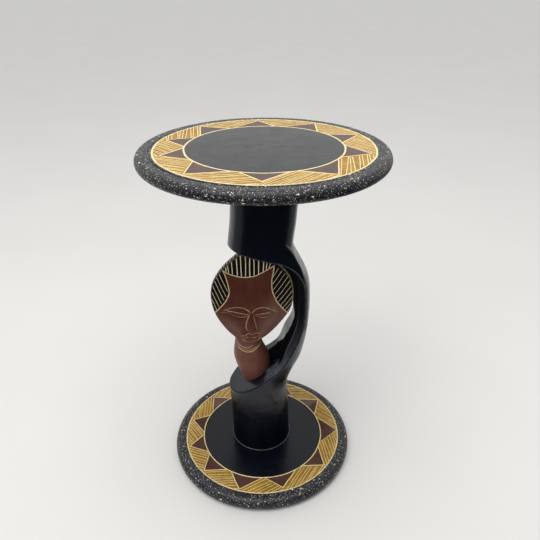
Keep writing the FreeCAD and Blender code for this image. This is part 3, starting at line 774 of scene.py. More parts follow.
v, q, outside = build_log(1.5)
column = new_piece("carved_log", v, q, True, 50)
_n = np.empty(len(column.data.vertices) * 3, np.float32)
column.data.vertices.foreach_get("normal", _n)
_n = _n.reshape(-1, 3)
inner = smooth01((-outside - 0.8) / 2.5)
reach = 33.0 - 21.0 * smooth01((v[:, 2] - 183.0) / 28.0) + 2.5 * noise(v[:, 0], v[:, 1], v[:, 2], 6.0, 41)
far_low = smooth01((v[:, 1] - reach + 1.5) / 4.0) * smooth01((262.0 - v[:, 2]) / 14.0)
behind = smooth01((v[:, 1] + 15.0) / 20.0)
point_values(column, "dull", inner * smooth01((0.67 + 0.34 * behind - _n[:, 2]) / 0.17) * smooth01((v[:, 2] - 150.0 + 14.0 * behind) / (40.0 - 22.0 * behind)) * (1 - 0.95 * far_low))
point_values(column, "edge", edge_distance(v, -outside > 0.5))

# ---------------------------------------------------------------- painted and incised panels
class Panel:
    """A flat field cut into paint areas by incised lines: outlines and grooves go in, a triangulation with an area for each triangle comes out."""

    def __init__(self):
        self.points, self.edges, self.faces, self.face_label, self.grooves = [], [], [], [], []

    def add(self, p, closed=False):
        n0 = len(self.points)
        self.points += [Vector((float(a), float(b))) for a, b in p]
        idx = list(range(n0, n0 + len(p)))
        self.edges += [(idx[i], idx[i + 1]) for i in range(len(p) - 1)]
        if closed:
            self.edges.append((idx[-1], idx[0]))
        return idx

    def area(self, p, label):
        p = np.asarray(p, float)
        q = np.roll(p, -1, 0)
        if (p[:, 0] * q[:, 1] - p[:, 1] * q[:, 0]).sum() < 0:
            p = p[::-1]
        self.faces.append(self.add(p, True))
        self.face_label.append(label)

    def groove(self, p, width, depth, label, closed=False, chatter=None):
        """An incised line along p: two edges and a deeper middle."""
        p = np.asarray(p, float)
        n = len(p)
        if closed:
            t = np.roll(p, -1, 0) - np.roll(p, 1, 0)
        else:
            t = np.gradient(p, axis=0)
        t /= np.linalg.norm(t, axis=1)[:, None] + 1e-9
        nrm = np.stack([-t[:, 1], t[:, 0]], 1)
        w = np.broadcast_to(np.asarray(width, float), (n,)) / 2
        left, right = p + nrm * w[:, None], p - nrm * w[:, None]
        if closed:
            self.add(p, True)
            a, b = self.add(left, True), self.add(right, True)
            for i in range(n):
                j = (i + 1) % n
                self.faces.append([b[i], b[j], a[j], a[i]])
                self.face_label.append(label)
        else:
            self.add(p)
            a, b = self.add(left), self.add(right)
            self.edges += [(a[0], b[0]), (a[-1], b[-1])]
            self.faces.append(b + a[::-1])
            self.face_label.append(label)
        seg = np.stack([p, np.roll(p, -1, 0)], 1) if closed else np.stack([p[:-1], p[1:]], 1)
        self.grooves.append((seg, float(np.mean(w)), depth, chatter))

    def solve(self, rank, default):
        out = geometry.delaunay_2d_cdt(self.points, self.edges, self.faces, 0, 1e-4, True)
        v = np.array([(p[0], p[1]) for p in out[0]])
        tri = np.array([f for f in out[2]], int)
        label = []
        for ids in out[5]:
            best = default
            for i in ids:
                if best == default or rank[self.face_label[i]] > rank[best]:
                    best = self.face_label[i]
            label.append(best)
        return v, tri, np.array(label)

    def depth(self, v):
        d = np.zeros(len(v))
        for seg, w, depth, chatter in self.grooves:
            lo, hi = seg.reshape(-1, 2).min(0) - w - 0.1, seg.reshape(-1, 2).max(0) + w + 0.1
            near = np.nonzero(((v > lo) & (v < hi)).all(1))[0]
            for c in range(0, len(near), 4000):
                idx = near[c:c + 4000]
                q = v[idx]
                a, b = seg[:, 0], seg[:, 1] - seg[:, 0]
                rel = q[:, None] - a[None]
                t = np.clip((rel * b).sum(2) / np.maximum((b * b).sum(1), 1e-9), 0, 1)
                dist2 = ((rel - t[..., None] * b) ** 2).sum(2)
                k = dist2.argmin(1)
                dist = np.sqrt(dist2[np.arange(len(idx)), k])
                amount = depth * np.clip(1 - dist / w, 0, 1)
                if chatter is not None:
                    amount = amount * chatter(q)
                d[idx] = np.maximum(d[idx], amount)
        return d


def shells(v3, under3, tri, chosen):
    """Closed thin bodies: the chosen triangles on top, the same ones below, and walls round each group."""
    t = tri[chosen]
    used, inv = np.unique(t, return_inverse=True)
    t = inv.reshape(t.shape)
    n = len(used)
    e = np.vstack([t[:, [0, 1]], t[:, [1, 2]], t[:, [2, 0]]])
    key = np.minimum(e[:, 0], e[:, 1]) * (n + 1) + np.maximum(e[:, 0], e[:, 1])
    uniq, first, cnt = np.unique(key, return_index=True, return_counts=True)
    rim = e[first[cnt == 1]]
    verts = np.vstack([v3[used], under3[used]])
    walls = np.stack([rim[:, 1], rim[:, 0], rim[:, 0] + n, rim[:, 1] + n], 1)
    walls = np.vstack([walls[:, [0, 1, 2]], walls[:, [0, 2, 3]]])
    return verts, np.vstack([t, t[:, ::-1] + n, walls])


def counter_clockwise(v, tri):
    a, b, c = v[tri[:, 0]], v[tri[:, 1]], v[tri[:, 2]]
    area = (b[:, 0] - a[:, 0]) * (c[:, 1] - a[:, 1]) - (c[:, 0] - a[:, 0]) * (b[:, 1] - a[:, 1])
    tri = tri.copy()
    flip = area < 0
    tri[flip] = tri[flip][:, ::-1]
    return tri, np.abs(area) > 1e-9


def polar(r, a):
    a = np.radians(a)
    return np.stack([r * np.cos(a), r * np.sin(a)], -1)


def wobble(p, size, amount, seed):
    return p + amount * np.stack([noise(p[:, 0], p[:, 1], 0.0, size, seed), noise(p[:, 0], p[:, 1], 7.0, size, seed + 1)], 1)


def ring_field(r_in, r_out, r_a, r_b, teeth, gaps, widths, seed, beads):
    """The painted band of a disc, about its own centre: two gold rings, brown teeth between them, and ochre fields with incised hatching that runs along the tooth on each field's clockwise side.
    teeth: (angle of the tip, radius of the tip, angle of the clockwise foot, angle of the other foot), anticlockwise."""
    rng = np.random.default_rng(seed)
    ring_w, side_w, line_w = widths
    p = Panel()
    n = 720
    full = np.arange(n) * 360.0 / n
    p.add(polar(np.full(n, r_a), full), True)
    p.add(polar(np.full(n, r_b), full), True)
    c_in = wobble(polar(np.full(n * 2, r_in), np.arange(n * 2) * 180.0 / n), 19.0, 0.35, seed)
    c_out = wobble(polar(np.full(n, r_out), full), 23.0, 0.35, seed + 4)
    wi = ring_w * (1 + 0.16 * noise(c_in[:, 0], c_in[:, 1], 0, 7.0, seed + 2))
    wo = ring_w * (1 + 0.16 * noise(c_out[:, 0], c_out[:, 1], 0, 7.0, seed + 3))
    p.area(c_out, "ochre")
    p.area(c_in[::4], "inner")
    p.groove(c_in, wi, 0.45, "gold", True, beads)
    p.groove(c_out, wo, 0.45, "gold", True)
    tips = [polar(t[1], t[0]) for t in teeth]
    feet = [(polar(r_in, t[2]), polar(r_in, t[3])) for t in teeth]
    for i, t in enumerate(teeth):
        arc = np.linspace(t[2], t[3], 14)
        p.area(np.vstack([polar(np.full(14, r_in - 0.2), arc), tips[i][None]]), "brown")
        for foot in feet[i]:
            line = foot + (tips[i] - foot) * np.linspace(0, 1.0, 16)[:, None]
            line = wobble(line, 12.0, 0.3, seed + 20 + i)
            p.groove(line, side_w * (1 + 0.15 * rng.standard_normal()), 0.42, "gold")
    for i, t in enumerate(teeth):
        j = (i + 1) % len(teeth)
        tip, foot = tips[i], feet[i][1]
        d = (foot - tip) / np.linalg.norm(foot - tip)
        nrm = np.array([d[1], -d[0]])
        if nrm @ (tips[j] - tip) < 0:
            nrm = -nrm
        e = feet[j][0] - tips[j]
        e /= np.linalg.norm(e)
        m = np.array([-e[1], e[0]])
        if m @ (tip - tips[j]) < 0:
            m = -m
        first, gap = gaps[i]
        s = first
        while s < 90:
            lean = math.radians(rng.normal(0, 1.3))
            dd = d * math.cos(lean) + nrm * math.sin(lean)
            tt = np.arange(-60.0, 80.0, 0.5)
            q = tip + nrm * (s + rng.normal(0, 0.22)) + dd * tt[:, None]
            r = np.linalg.norm(q, axis=1)
            ok = (r < r_out - 0.5) & (r > r_in + 0.5) & (((q - tips[j]) @ m) > 0.5)
            s += gap * (1 + rng.normal(0, 0.09))
            if not ok.any():
                if s > 45:
                    break
                continue
            runs = np.split(np.nonzero(ok)[0], np.nonzero(np.diff(np.nonzero(ok)[0]) > 1)[0] + 1)
            run = max(runs, key=len)
            if len(run) < 7:
                continue
            a, b = run[0], run[-1]
            a, b = a + int(rng.random() < 0.3) * int(rng.integers(0, 3)), b - int(rng.random() < 0.3) * int(rng.integers(0, 3))
            line = wobble(q[a:b + 1:3], 16.0, 0.28, seed + 50 + i)
            if len(line) < 3:
                continue
            k = len(line)
            w = line_w * (0.9 + 0.25 * rng.random()) * (1 + 0.14 * noise(line[:, 0], line[:, 1], 3.0, 5.0, seed + 9))
            taper = np.ones(k)
            taper[0], taper[-1] = 0.6, 0.6
            p.groove(line, w * taper, 0.36, "gold")
    # loose points, so that the paint can be a little uneven
    g = np.arange(-r_b, r_b, 4.2)
    gx, gy = np.meshgrid(g, g)
    loose = np.stack([gx.ravel(), gy.ravel()], 1) + rng.uniform(-1.2, 1.2, (gx.size, 2))
    rr = np.linalg.norm(loose, axis=1)
    p.points += [Vector(q) for q in loose[(rr > r_in + 2.5) & (rr < r_out - 2.5)]]
    return p


def painted_band(name, node_name, ochre, gold, black, centre, z_top, r_in, r_out, r_a, r_b, teeth, gaps, widths, seed, beads):
    p = ring_field(r_in, r_out, r_a, r_b, teeth, gaps, widths, seed, beads)
    v, tri, lab = p.solve({"outer": 0, "ochre": 1, "inner": 2, "brown": 3, "gold": 4}, "outer")
    tri, good = counter_clockwise(v, tri)
    mid = v[tri].mean(1)
    r = np.linalg.norm(mid, axis=1)
    keep = good & (r < r_b) & (r > r_a)
    tri, lab, r = tri[keep], lab[keep], r[keep]
    lab = np.where((lab == "brown") & (r < r_in), "inner", lab)
    d = p.depth(v)
    rv = np.linalg.norm(v, axis=1)
    fade = smooth01((rv - r_a) / 2.0) * smooth01((r_b - rv) / 2.0)
    uneven = 0.05 + 0.05 * noise(v[:, 0], v[:, 1], 0, 9.0, seed + 70) + 0.02 * noise(v[:, 0], v[:, 1], 0, 4.0, seed + 71)
    z = z_top - (d + np.maximum(uneven, 0)) * fade
    v3 = np.column_stack([v + centre, z])
    low = np.column_stack([v + centre, np.full(len(v), z_top - 1.0)])
    made = []
    for key, label, slot, mat in (("ochre_fields", ["ochre"], "yellow_paint", ochre), ("brown_teeth", ["brown"], "triangle_brown_paint", "brown"),
                                  ("gold_lines", ["gold"], "gold_line_paint", gold), ("inner_edge", ["inner"], "black_lacquer", black),
                                  ("outer_edge", ["outer"], "speckled_rim", "rim")):
        vv, ff = shells(v3, low, tri, np.isin(lab, label))
        ob = new_piece(name + "_" + key, vv, ff, True, 14)
        hold(ob, node_name, MAT[mat])
        made.append(ob)
    return made


def disc_rim(name, node_name, centre, r_b, radius, thick, z0, n, seed, step=0.62):
    """The black rim: a flat shoulder and a half-round edge with the grain of spattered paint on it."""
    rr = thick / 2
    top = np.arange(r_b, radius - rr, step)
    arc_n = int(math.pi * rr / 0.72)
    a = np.linspace(90, -90, arc_n)
    prof = [(x, thick) for x in top] + [(radius - rr + rr * math.cos(math.radians(t)), rr + rr * math.sin(math.radians(t))) for t in a]
    prof += [(x, 0.0) for x in np.linspace(radius - rr, r_b, 7)[1:]] + [(r_b, thick * f) for f in (0.35, 0.7)]
    prof = np.array(prof)
    m = len(prof)
    nrm = np.zeros((m, 2))
    k = len(top)
    nrm[:k] = (0, 1)
    nrm[k:k + arc_n] = np.stack([np.cos(np.radians(a)), np.sin(np.radians(a))], 1)
    th = np.arange(n) * 2 * math.pi / n
    x = prof[:, None, 0] * np.cos(th)
    y = prof[:, None, 0] * np.sin(th)
    zz = np.repeat(prof[:, None, 1], n, 1)
    grain = np.clip(noise(x, y, zz, 2.1, seed) + 0.6 * noise(x, y, zz, 1.2, seed + 1), -1, 1.2)
    swell = noise(x, y, zz, 30.0, seed + 2)
    fade = smooth01((prof[:, 0] - r_b) / 3.0)[:, None] * (np.abs(nrm).sum(1) > 0)[:, None]
    dep = -(0.14 + 0.11 * grain + 0.10 * swell) * fade * np.where(zz < 1.5, 0.4, 1.0)
    dep = np.minimum(dep, -0.04 * fade)
    v = np.stack([centre[0] + x + dep * nrm[:, 0, None] * np.cos(th), centre[1] + y + dep * nrm[:, 0, None] * np.sin(th), z0 + zz + dep * nrm[:, 1, None]], -1).reshape(-1, 3)
    v[:, 2] = np.clip(v[:, 2], z0, z0 + thick)
    i, j = np.meshgrid(np.arange(m), np.arange(n), indexing="ij")
    i2, j2 = (i + 1) % m, (j + 1) % n
    quads = np.stack([i * n + j, i2 * n + j, i2 * n + j2, i * n + j2], -1).reshape(-1, 4)
    ob = new_piece(name, v, quads, True, 60)
    hold(ob, node_name, MAT["rim"])
    return ob


def disc_core(name, node_name, black, centre, pattern_centre, r_a, r_b, thick, z0, holes):
    """The turned disc inside the rim, with the shallow bed that the painted band lies in."""
    n = 480
    a = np.arange(n) * 2 * math.pi / n
    radii = [8, 20, 34, 50, 66, 82, r_a - 8, r_a]
    rings = []
    ca, cb = np.array(pattern_centre), np.array(centre)
    for r in radii:
        rings.append(np.column_stack([ca + polar(np.full(n, r), np.degrees(a)), np.full(n, z0 + thick)]))
    rings.append(np.column_stack([ca + polar(np.full(n, r_a), np.degrees(a)), np.full(n, z0 + thick - 1.0)]))
    rings.append(np.column_stack([cb + polar(np.full(n, r_b), np.degrees(a)), np.full(n, z0 + thick - 1.0)]))
    rings.append(np.column_stack([cb + polar(np.full(n, r_b), np.degrees(a)), np.full(n, z0)]))
    for r in (r_b - 30, 40):
        rings.append(np.column_stack([cb + polar(np.full(n, r), np.degrees(a)), np.full(n, z0)]))
    v = np.vstack(rings + [[[ca[0], ca[1], z0 + thick]], [[cb[0], cb[1], z0]]])
    m = len(rings)
    i, j = np.meshgrid(np.arange(m - 1), np.arange(n), indexing="ij")
    j2 = (j + 1) % n
    faces = np.stack([i * n + j, (i + 1) * n + j, (i + 1) * n + j2, i * n + j2], -1).reshape(-1, 4).tolist()
    faces += [[m * n, k, (k + 1) % n] for k in range(n)] + [[m * n + 1, (m - 1) * n + (k + 1) % n, (m - 1) * n + k] for k in range(n)]
    ob = new_piece(name, v, faces, True)
    cut(ob, holes)
    ob.data.set_sharp_from_angle(angle=math.radians(20))
    hold(ob, node_name, MAT[black])
    return ob


# the band of the top: the turner's centre is a little off the disc's own
TOP_TEETH = [(-92.0, 131.5, -107.0, -74.4), (-53.6, 137.5, -69.3, -31.4), (-14.8, 137.5, -27.4, 1.8), (22.0, 139.5, 8.0, 33.0), (56.8, 139.0, 43.5, 74.5),
             (93.2, 136.5, 81.0, 116.2), (131.0, 140.5, 117.4, 147.6), (165.0, 137.0, 153.4, 178.0), (-165.0, 135.0, -178.6, -150.0), (-131.6, 139.5, -146.6, -111.8)]
TOP_GAPS = [(3.9, 3.9), (2.2, 5.4), (3.9, 3.9), (4.0, 4.2), (4.0, 4.4), (4.2, 4.4), (4.6, 4.6), (4.6, 4.6), (4.4, 4.4), (4.2, 4.6)]
BASE_TEETH = [(-107.0, 126.6, -120.6, -90.4), (-75.6, 123.6, -88.6, -58.2), (-38.0, 126.0, -51.4, -22.0), (-0.8, 129.0, -17.3, 17.6), (35.4, 128.0, 21.2, 50.6),
              (68.9, 127.0, 55.0, 83.5), (102.6, 126.0, 87.0, 118.0), (136.2, 124.0, 124.4, 152.2), (166.8, 125.4, 157.0, -178.6), (-165.0, 126.0, -176.4, -153.2), (-138.3, 126.0, -150.8, -124.6)]
BASE_GAPS = [(4.6, 5.4), (6.6, 4.3), (4.6, 4.9), (4.4, 4.9), (4.2, 4.6), (4.2, 4.6), (4.3, 4.7), (4.6, 4.9), (3.6, 4.1), (4.2, 4.6), (4.0, 4.4)]


def unwrap_feet(teeth):
    """Feet on the same turn as their tip."""
    out = []
    for a, r, f0, f1 in teeth:
        while f0 > a:
            f0 -= 360
        while f1 < a:
            f1 += 360
        out.append((a, r, f0, f1))
    return out


def chatter(q):
    """The near and far arcs of the inner ring look beaded: the tool chattered there."""
    a = np.degrees(np.arctan2(q[:, 1], q[:, 0]))
    s = np.radians(a) * 104.0
    part = smooth01((np.abs(a) - 58.0) / 8.0) * smooth01((125.0 - np.abs(a)) / 8.0)
    return 1 - part * (0.45 + 0.45 * np.sin(2 * math.pi * s / 2.7))


TOP_C = (LEAN + 1.2, 1.6)
BASE_C = (0.2, 0.0)
T_IN, T_OUT, T_A, T_B = 103.9, 143.4, 100.0, 147.4
B_IN, B_OUT, B_A, B_B = 100.2, 129.2, 96.4, 132.4

painted_band("top", "table_top", "ochre", "gold", "disc_black", TOP_C, HEIGHT, T_IN, T_OUT, T_A, T_B, unwrap_feet(TOP_TEETH), TOP_GAPS, (2.3, 1.7, 1.02), 11, chatter)
# the base's band takes the darker ochre and gold, which paint the shade under the top
painted_band("base", "base_disc", "base_ochre_painted_shade", "base_gold_painted_shade", "base_black", BASE_C, BASE_T, B_IN, B_OUT, B_A, B_B, unwrap_feet(BASE_TEETH), BASE_GAPS, (1.8, 1.5, 0.86), 37, None)
disc_rim("top_rim", "table_top", (LEAN, 0.0), T_B, TOP_R, TOP_T, HEIGHT - TOP_T, 1100, 5)
disc_rim("base_rim", "base_disc", (0.0, 0.0), B_B, BASE_R, BASE_T, 0.0, 1000, 6)
top_holes = [screw_cutter("hole_a%d" % k, xy, HEIGHT - PLUG_H, True, 0.0) for k, xy in enumerate(TOP_SCREWS)]
top_holes += [turned_cutter("hole_b%d" % k, [(0, HEIGHT + 1), (PLUG_R + 0.03, HEIGHT + 1), (PLUG_R + 0.03, HEIGHT - PLUG_H - 0.01), (0, HEIGHT - PLUG_H - 0.01)], xy, 64) for k, xy in enumerate(TOP_SCREWS)]
disc_core("top_disc", "table_top", "disc_black", (LEAN, 0.0), TOP_C, T_A, T_B, TOP_T, HEIGHT - TOP_T, top_holes)
disc_core("base_disc_body", "base_disc", "base_black", (0.0, 0.0), BASE_C, B_A, B_B, BASE_T, 0.0, [screw_cutter("hole_c%d" % k, xy, 1.0, False, 2.0) for k, xy in enumerate(BASE_SCREWS)])

# ---------------------------------------------------------------- log: holes for its fixings
holes = [screw_cutter("hole_d%d" % k, xy, HEIGHT - PLUG_H, True, 0.0) for k, xy in enumerate(TOP_SCREWS)]
holes += [screw_cutter("hole_e%d" % k, xy, 1.0, False, 2.0) for k, xy in enumerate(BASE_SCREWS)]
holes += [turned_cutter("hole_f", [(0, DOWEL_Z[1] + 1), (DOWEL_R + 0.12, DOWEL_Z[1] + 1), (DOWEL_R + 0.12, DOWEL_Z[0] - 1), (0, DOWEL_Z[0] - 1)], DOWEL_XY, 40)]
cut(column, holes)
column.data.polygons.foreach_set("use_smooth", np.ones(len(column.data.polygons), bool))
column.data.set_sharp_from_angle(angle=math.radians(50))
hold(column, "column", MAT["black"])

# ---------------------------------------------------------------- carved head
RIM = catmull(HEAD_RIM, 1.0, True)
RIM_A = np.arctan2(RIM[:, 1] - HEAD_CENTRE[1], RIM[:, 0] - HEAD_CENTRE[0])
RIM_R = np.hypot(RIM[:, 0] - HEAD_CENTRE[0], RIM[:, 1] - HEAD_CENTRE[1])
_o = np.argsort(RIM_A)
RIM_A, RIM_R = RIM_A[_o], RIM_R[_o]
RIM_A = np.r_[RIM_A[-1] - 2 * math.pi, RIM_A, RIM_A[0] + 2 * math.pi]
RIM_R = np.r_[RIM_R[-1], RIM_R, RIM_R[0]]
face_y = pchip([0.0, 0.25, 0.5, 0.7, 0.86, 0.95, 1.0], [-37.6, -37.2, -36.1, -34.5, -32.4, -30.8, -29.6])


def tilt(p):
    c, s = math.cos(HEAD_TILT), math.sin(HEAD_TILT)
    y, z = p[:, 1] + 29.5, p[:, 2] - HEAD_CENTRE[1]
    return np.column_stack([p[:, 0], -29.5 + y * c - z * s, HEAD_CENTRE[1] + y * s + z * c])


def segment_distance(x, z, line):
    line = np.asarray(line, float)
    a, b = line[:-1], line[1:] - line[:-1]
    best, where = np.full(len(x), 1e9), np.zeros(len(x))
    s0 = along(line)
    for i in range(len(a)):
        t = np.clip(((x - a[i, 0]) * b[i, 0] + (z - a[i, 1]) * b[i, 1]) / (b[i] @ b[i]), 0, 1)
        d = np.hypot(x - a[i, 0] - t * b[i, 0], z - a[i, 1] - t * b[i, 1])
        m = d < best
        best[m] = d[m]
        where[m] = (s0[i] + t[m] * (s0[i + 1] - s0[i])) / s0[-1]
    return best, where


LID_L = [(-55.5, 288.6), (-47.5, 292.6), (-38.8, 295.2), (-30.1, 295.0), (-22.2, 292.4), (-15.6, 286.4)]
LOW_L = [(-55.5, 288.6), (-49.0, 287.4), (-41.7, 283.8), (-33.0, 281.2), (-23.4, 281.4), (-15.6, 286.4)]
LID_R = [(-10.4, 286.4), (-6.4, 292.0), (0.6, 295.0), (8.7, 294.3), (15.4, 291.0), (22.0, 287.2)]
LOW_R = [(-10.4, 286.4), (-4.6, 281.6), (3.8, 279.6), (11.0, 281.8), (17.0, 285.6), (22.0, 287.2)]


def between(x, z, upper, lower):
    """0 at an almond's edges and 1 at its middle."""
    u, l = catmull(upper, 1.0), catmull(lower, 1.0)
    top, bottom = np.interp(x, u[:, 0], u[:, 1], -1e3, -1e3), np.interp(x, l[:, 0], l[:, 1], 1e3, 1e3)
    h = np.maximum(top - bottom, 1e-3)
    t = (z - bottom) / h
    inside = (t > 0) & (t < 1) & (h > 0.05)
    return np.where(inside, 4 * np.clip(t, 0, 1) * (1 - np.clip(t, 0, 1)), 0) * np.clip(h / 9.0, 0, 1)


def relief(x, z):
    """How far the carving stands out of the face's even curve, in mm."""
    out = 1.9 * between(x, z, LID_L, LOW_L) ** 0.8 + 1.9 * between(x, z, LID_R, LOW_R) ** 0.8
    # sunk sockets round the lids
    for c in ((-35.5, 287.5), (5.0, 287.0)):
        out -= 1.3 * np.exp(-(((x - c[0]) / 19.0) ** 2 + ((z - c[1]) / 9.5) ** 2) ** 2) * (1 - np.maximum(between(x, z, LID_L, LOW_L), between(x, z, LID_R, LOW_R)))
    # nose: a wedge that widens and rises downwards
    t = np.clip((288.0 - z) / 33.0, 0, 1)
    half = 2.6 + 4.4 * t
    mid = -13.3 + 0.1 * t
    up = smooth01((z - 252.0) / 4.0) * smooth01((291.0 - z) / 8.0)
    out += (1.0 + 2.6 * t) * up * np.clip(1 - ((x - mid) / half) ** 2, 0, None) ** 0.8
    # lips
    out += 2.0 * np.exp(-((x + 15.0) / 11.5) ** 4) * (np.exp(-((z - 246.2) / 2.3) ** 2) + 1.15 * np.exp(-((z - 236.8) / 3.4) ** 2))
    out -= 0.8 * np.exp(-((x + 15.0) / 14.0) ** 4) * np.exp(-((z - 241.4) / 1.3) ** 2)
    # chin and cheeks
    out += 0.8 * np.exp(-(((x + 17.0) / 10.0) ** 2 + ((z - 231.0) / 4.0) ** 2))
    for c in ((-42.0, 268.0), (17.0, 268.0)):
        out += 0.7 * np.exp(-(((x - c[0]) / 13.0) ** 2 + ((z - c[1]) / 13.0) ** 2))
    return out


def face_height(x, z):
    a = np.arctan2(z - HEAD_CENTRE[1], x - HEAD_CENTRE[0])
    u = np.hypot(x - HEAD_CENTRE[0], z - HEAD_CENTRE[1]) / np.interp(a, RIM_A, RIM_R)
    return np.clip(u, 0, 1)


LINE_TOP = [(-51.8, 356.4), (-46.1, 352.9), (-37.0, 349.9), (-26.3, 348.1), (-17.1, 348.2), (-6.3, 350.2), (2.9, 354.5), (12.1, 359.4), (19.8, 363.6)]
LINE_LEFT = [(-51.8, 356.4), (-47.9, 347.1), (-45.2, 335.3), (-43.8, 323.8), (-47.2, 312.5), (-54.6, 300.5), (-66.3, 284.9)]
LINE_RIGHT = [(19.8, 363.6), (18.2, 354.3), (16.3, 344.4), (15.9, 334.8), (17.4, 323.0), (22.9, 307.6), (30.2, 296.0), (39.4, 282.6)]
TOP_BARS = [((-47.7, 360.4), (-46.9, 355.3)), ((-44.6, 363.8), (-43.4, 353.6)), ((-39.0, 369.2), (-38.3, 351.4)), ((-32.4, 374.6), (-31.2, 349.7)),
            ((-26.7, 379.2), (-26.0, 349.0)), ((-19.6, 382.8), (-20.1, 348.9)), ((-14.0, 383.4), (-14.3, 349.3)), ((-8.4, 382.6), (-8.3, 350.7)),
            ((-1.8, 380.0), (-2.2, 352.9)), ((5.2, 376.6), (4.4, 356.2)), ((10.4, 373.6), (8.4, 358.6)), ((15.6, 370.4), (12.4, 361.0))]
LEFT_BARS = [((-57.0, 350.6), (-45.6, 324.6)), ((-60.7, 345.4), (-48.4, 315.6)), ((-63.9, 339.2), (-51.6, 309.4)), ((-66.8, 331.2), (-55.4, 302.8)),
             ((-68.6, 321.2), (-59.2, 296.8)), ((-69.2, 309.4), (-62.8, 290.6))]
RIGHT_BARS = [((25.6, 359.4), (17.3, 346.0)), ((30.4, 355.2), (17.0, 335.6)), ((34.8, 350.6), (17.9, 326.4)), ((38.6, 345.2), (19.8, 318.4)), ((41.8, 338.4), (22.5, 311.4)),
              ((44.0, 330.2), (25.4, 305.6)), ((45.2, 321.6), (28.6, 299.6)), ((45.8, 312.4), (31.8, 294.4)), ((45.2, 302.6), (34.9, 289.6)), ((43.6, 293.4), (38.6, 285.6))]
FACE_LINES = [
    ([(-54.3, 290.5), (-47.7, 294.0), (-38.8, 297.4), (-30.1, 298.0), (-22.2, 295.7), (-16.8, 291.3), (-14.0, 287.0)], 1.15, 0.7),
    ([(-49.0, 291.6), (-40.6, 291.4), (-32.7, 290.0), (-23.2, 288.0), (-15.5, 286.2)], 0.8, 0.45),
    ([(-57.2, 287.1), (-49.5, 288.6), (-41.7, 284.2), (-33.0, 281.2), (-23.4, 280.7), (-17.0, 284.2)], 0.85, 0.5),
    ([(-12.4, 286.9), (-8.0, 293.5), (-0.0, 297.2), (8.7, 296.5), (15.8, 292.6), (23.0, 288.0)], 1.15, 0.7),
    ([(-9.9, 286.1), (-2.5, 287.4), (7.0, 288.6), (15.0, 289.6)], 0.8, 0.45),
    ([(-9.0, 283.7), (-2.6, 280.5), (3.8, 279.3), (11.0, 282.0), (19.0, 287.0)], 0.85, 0.5),
    ([(-15.7, 285.4), (-19.0, 277.9), (-21.3, 268.8), (-21.4, 260.2), (-18.8, 254.9)], 1.15, 0.7),
    ([(-10.9, 285.3), (-9.3, 277.7), (-7.8, 268.5), (-6.4, 259.7), (-6.2, 256.0)], 0.75, 0.6),
    ([(-18.8, 254.9), (-15.2, 252.4), (-10.8, 253.6), (-6.2, 255.6)], 0.8, 0.6),
    ([(-30.8, 243.5), (-24.4, 246.5), (-18.1, 249.8), (-12.9, 248.6), (-5.6, 250.0), (-0.1, 247.6)], 0.85, 0.5),
    ([(-30.0, 243.3), (-22.9, 241.0), (-15.5, 242.0), (-8.1, 240.6), (-0.9, 246.4)], 0.8, 0.55),
    ([(-28.8, 239.4), (-22.3, 235.2), (-14.1, 233.2), (-5.7, 235.4), (-0.9, 242.6)], 0.85, 0.5),
    ([(-29.6, 235.4), (-24.8, 231.8), (-18.0, 229.7), (-11.0, 231.0), (-5.0, 234.2), (1.6, 239.0)], 0.8, 0.4),
]


MOUTH = [(-30.4, 243.3), (-24.4, 246.3), (-18.1, 249.4), (-12.9, 248.3), (-5.6, 249.6), (-0.6, 246.6), (-1.6, 241.0), (-6.0, 236.0),
         (-14.1, 233.6), (-22.1, 235.6), (-28.2, 239.8)]


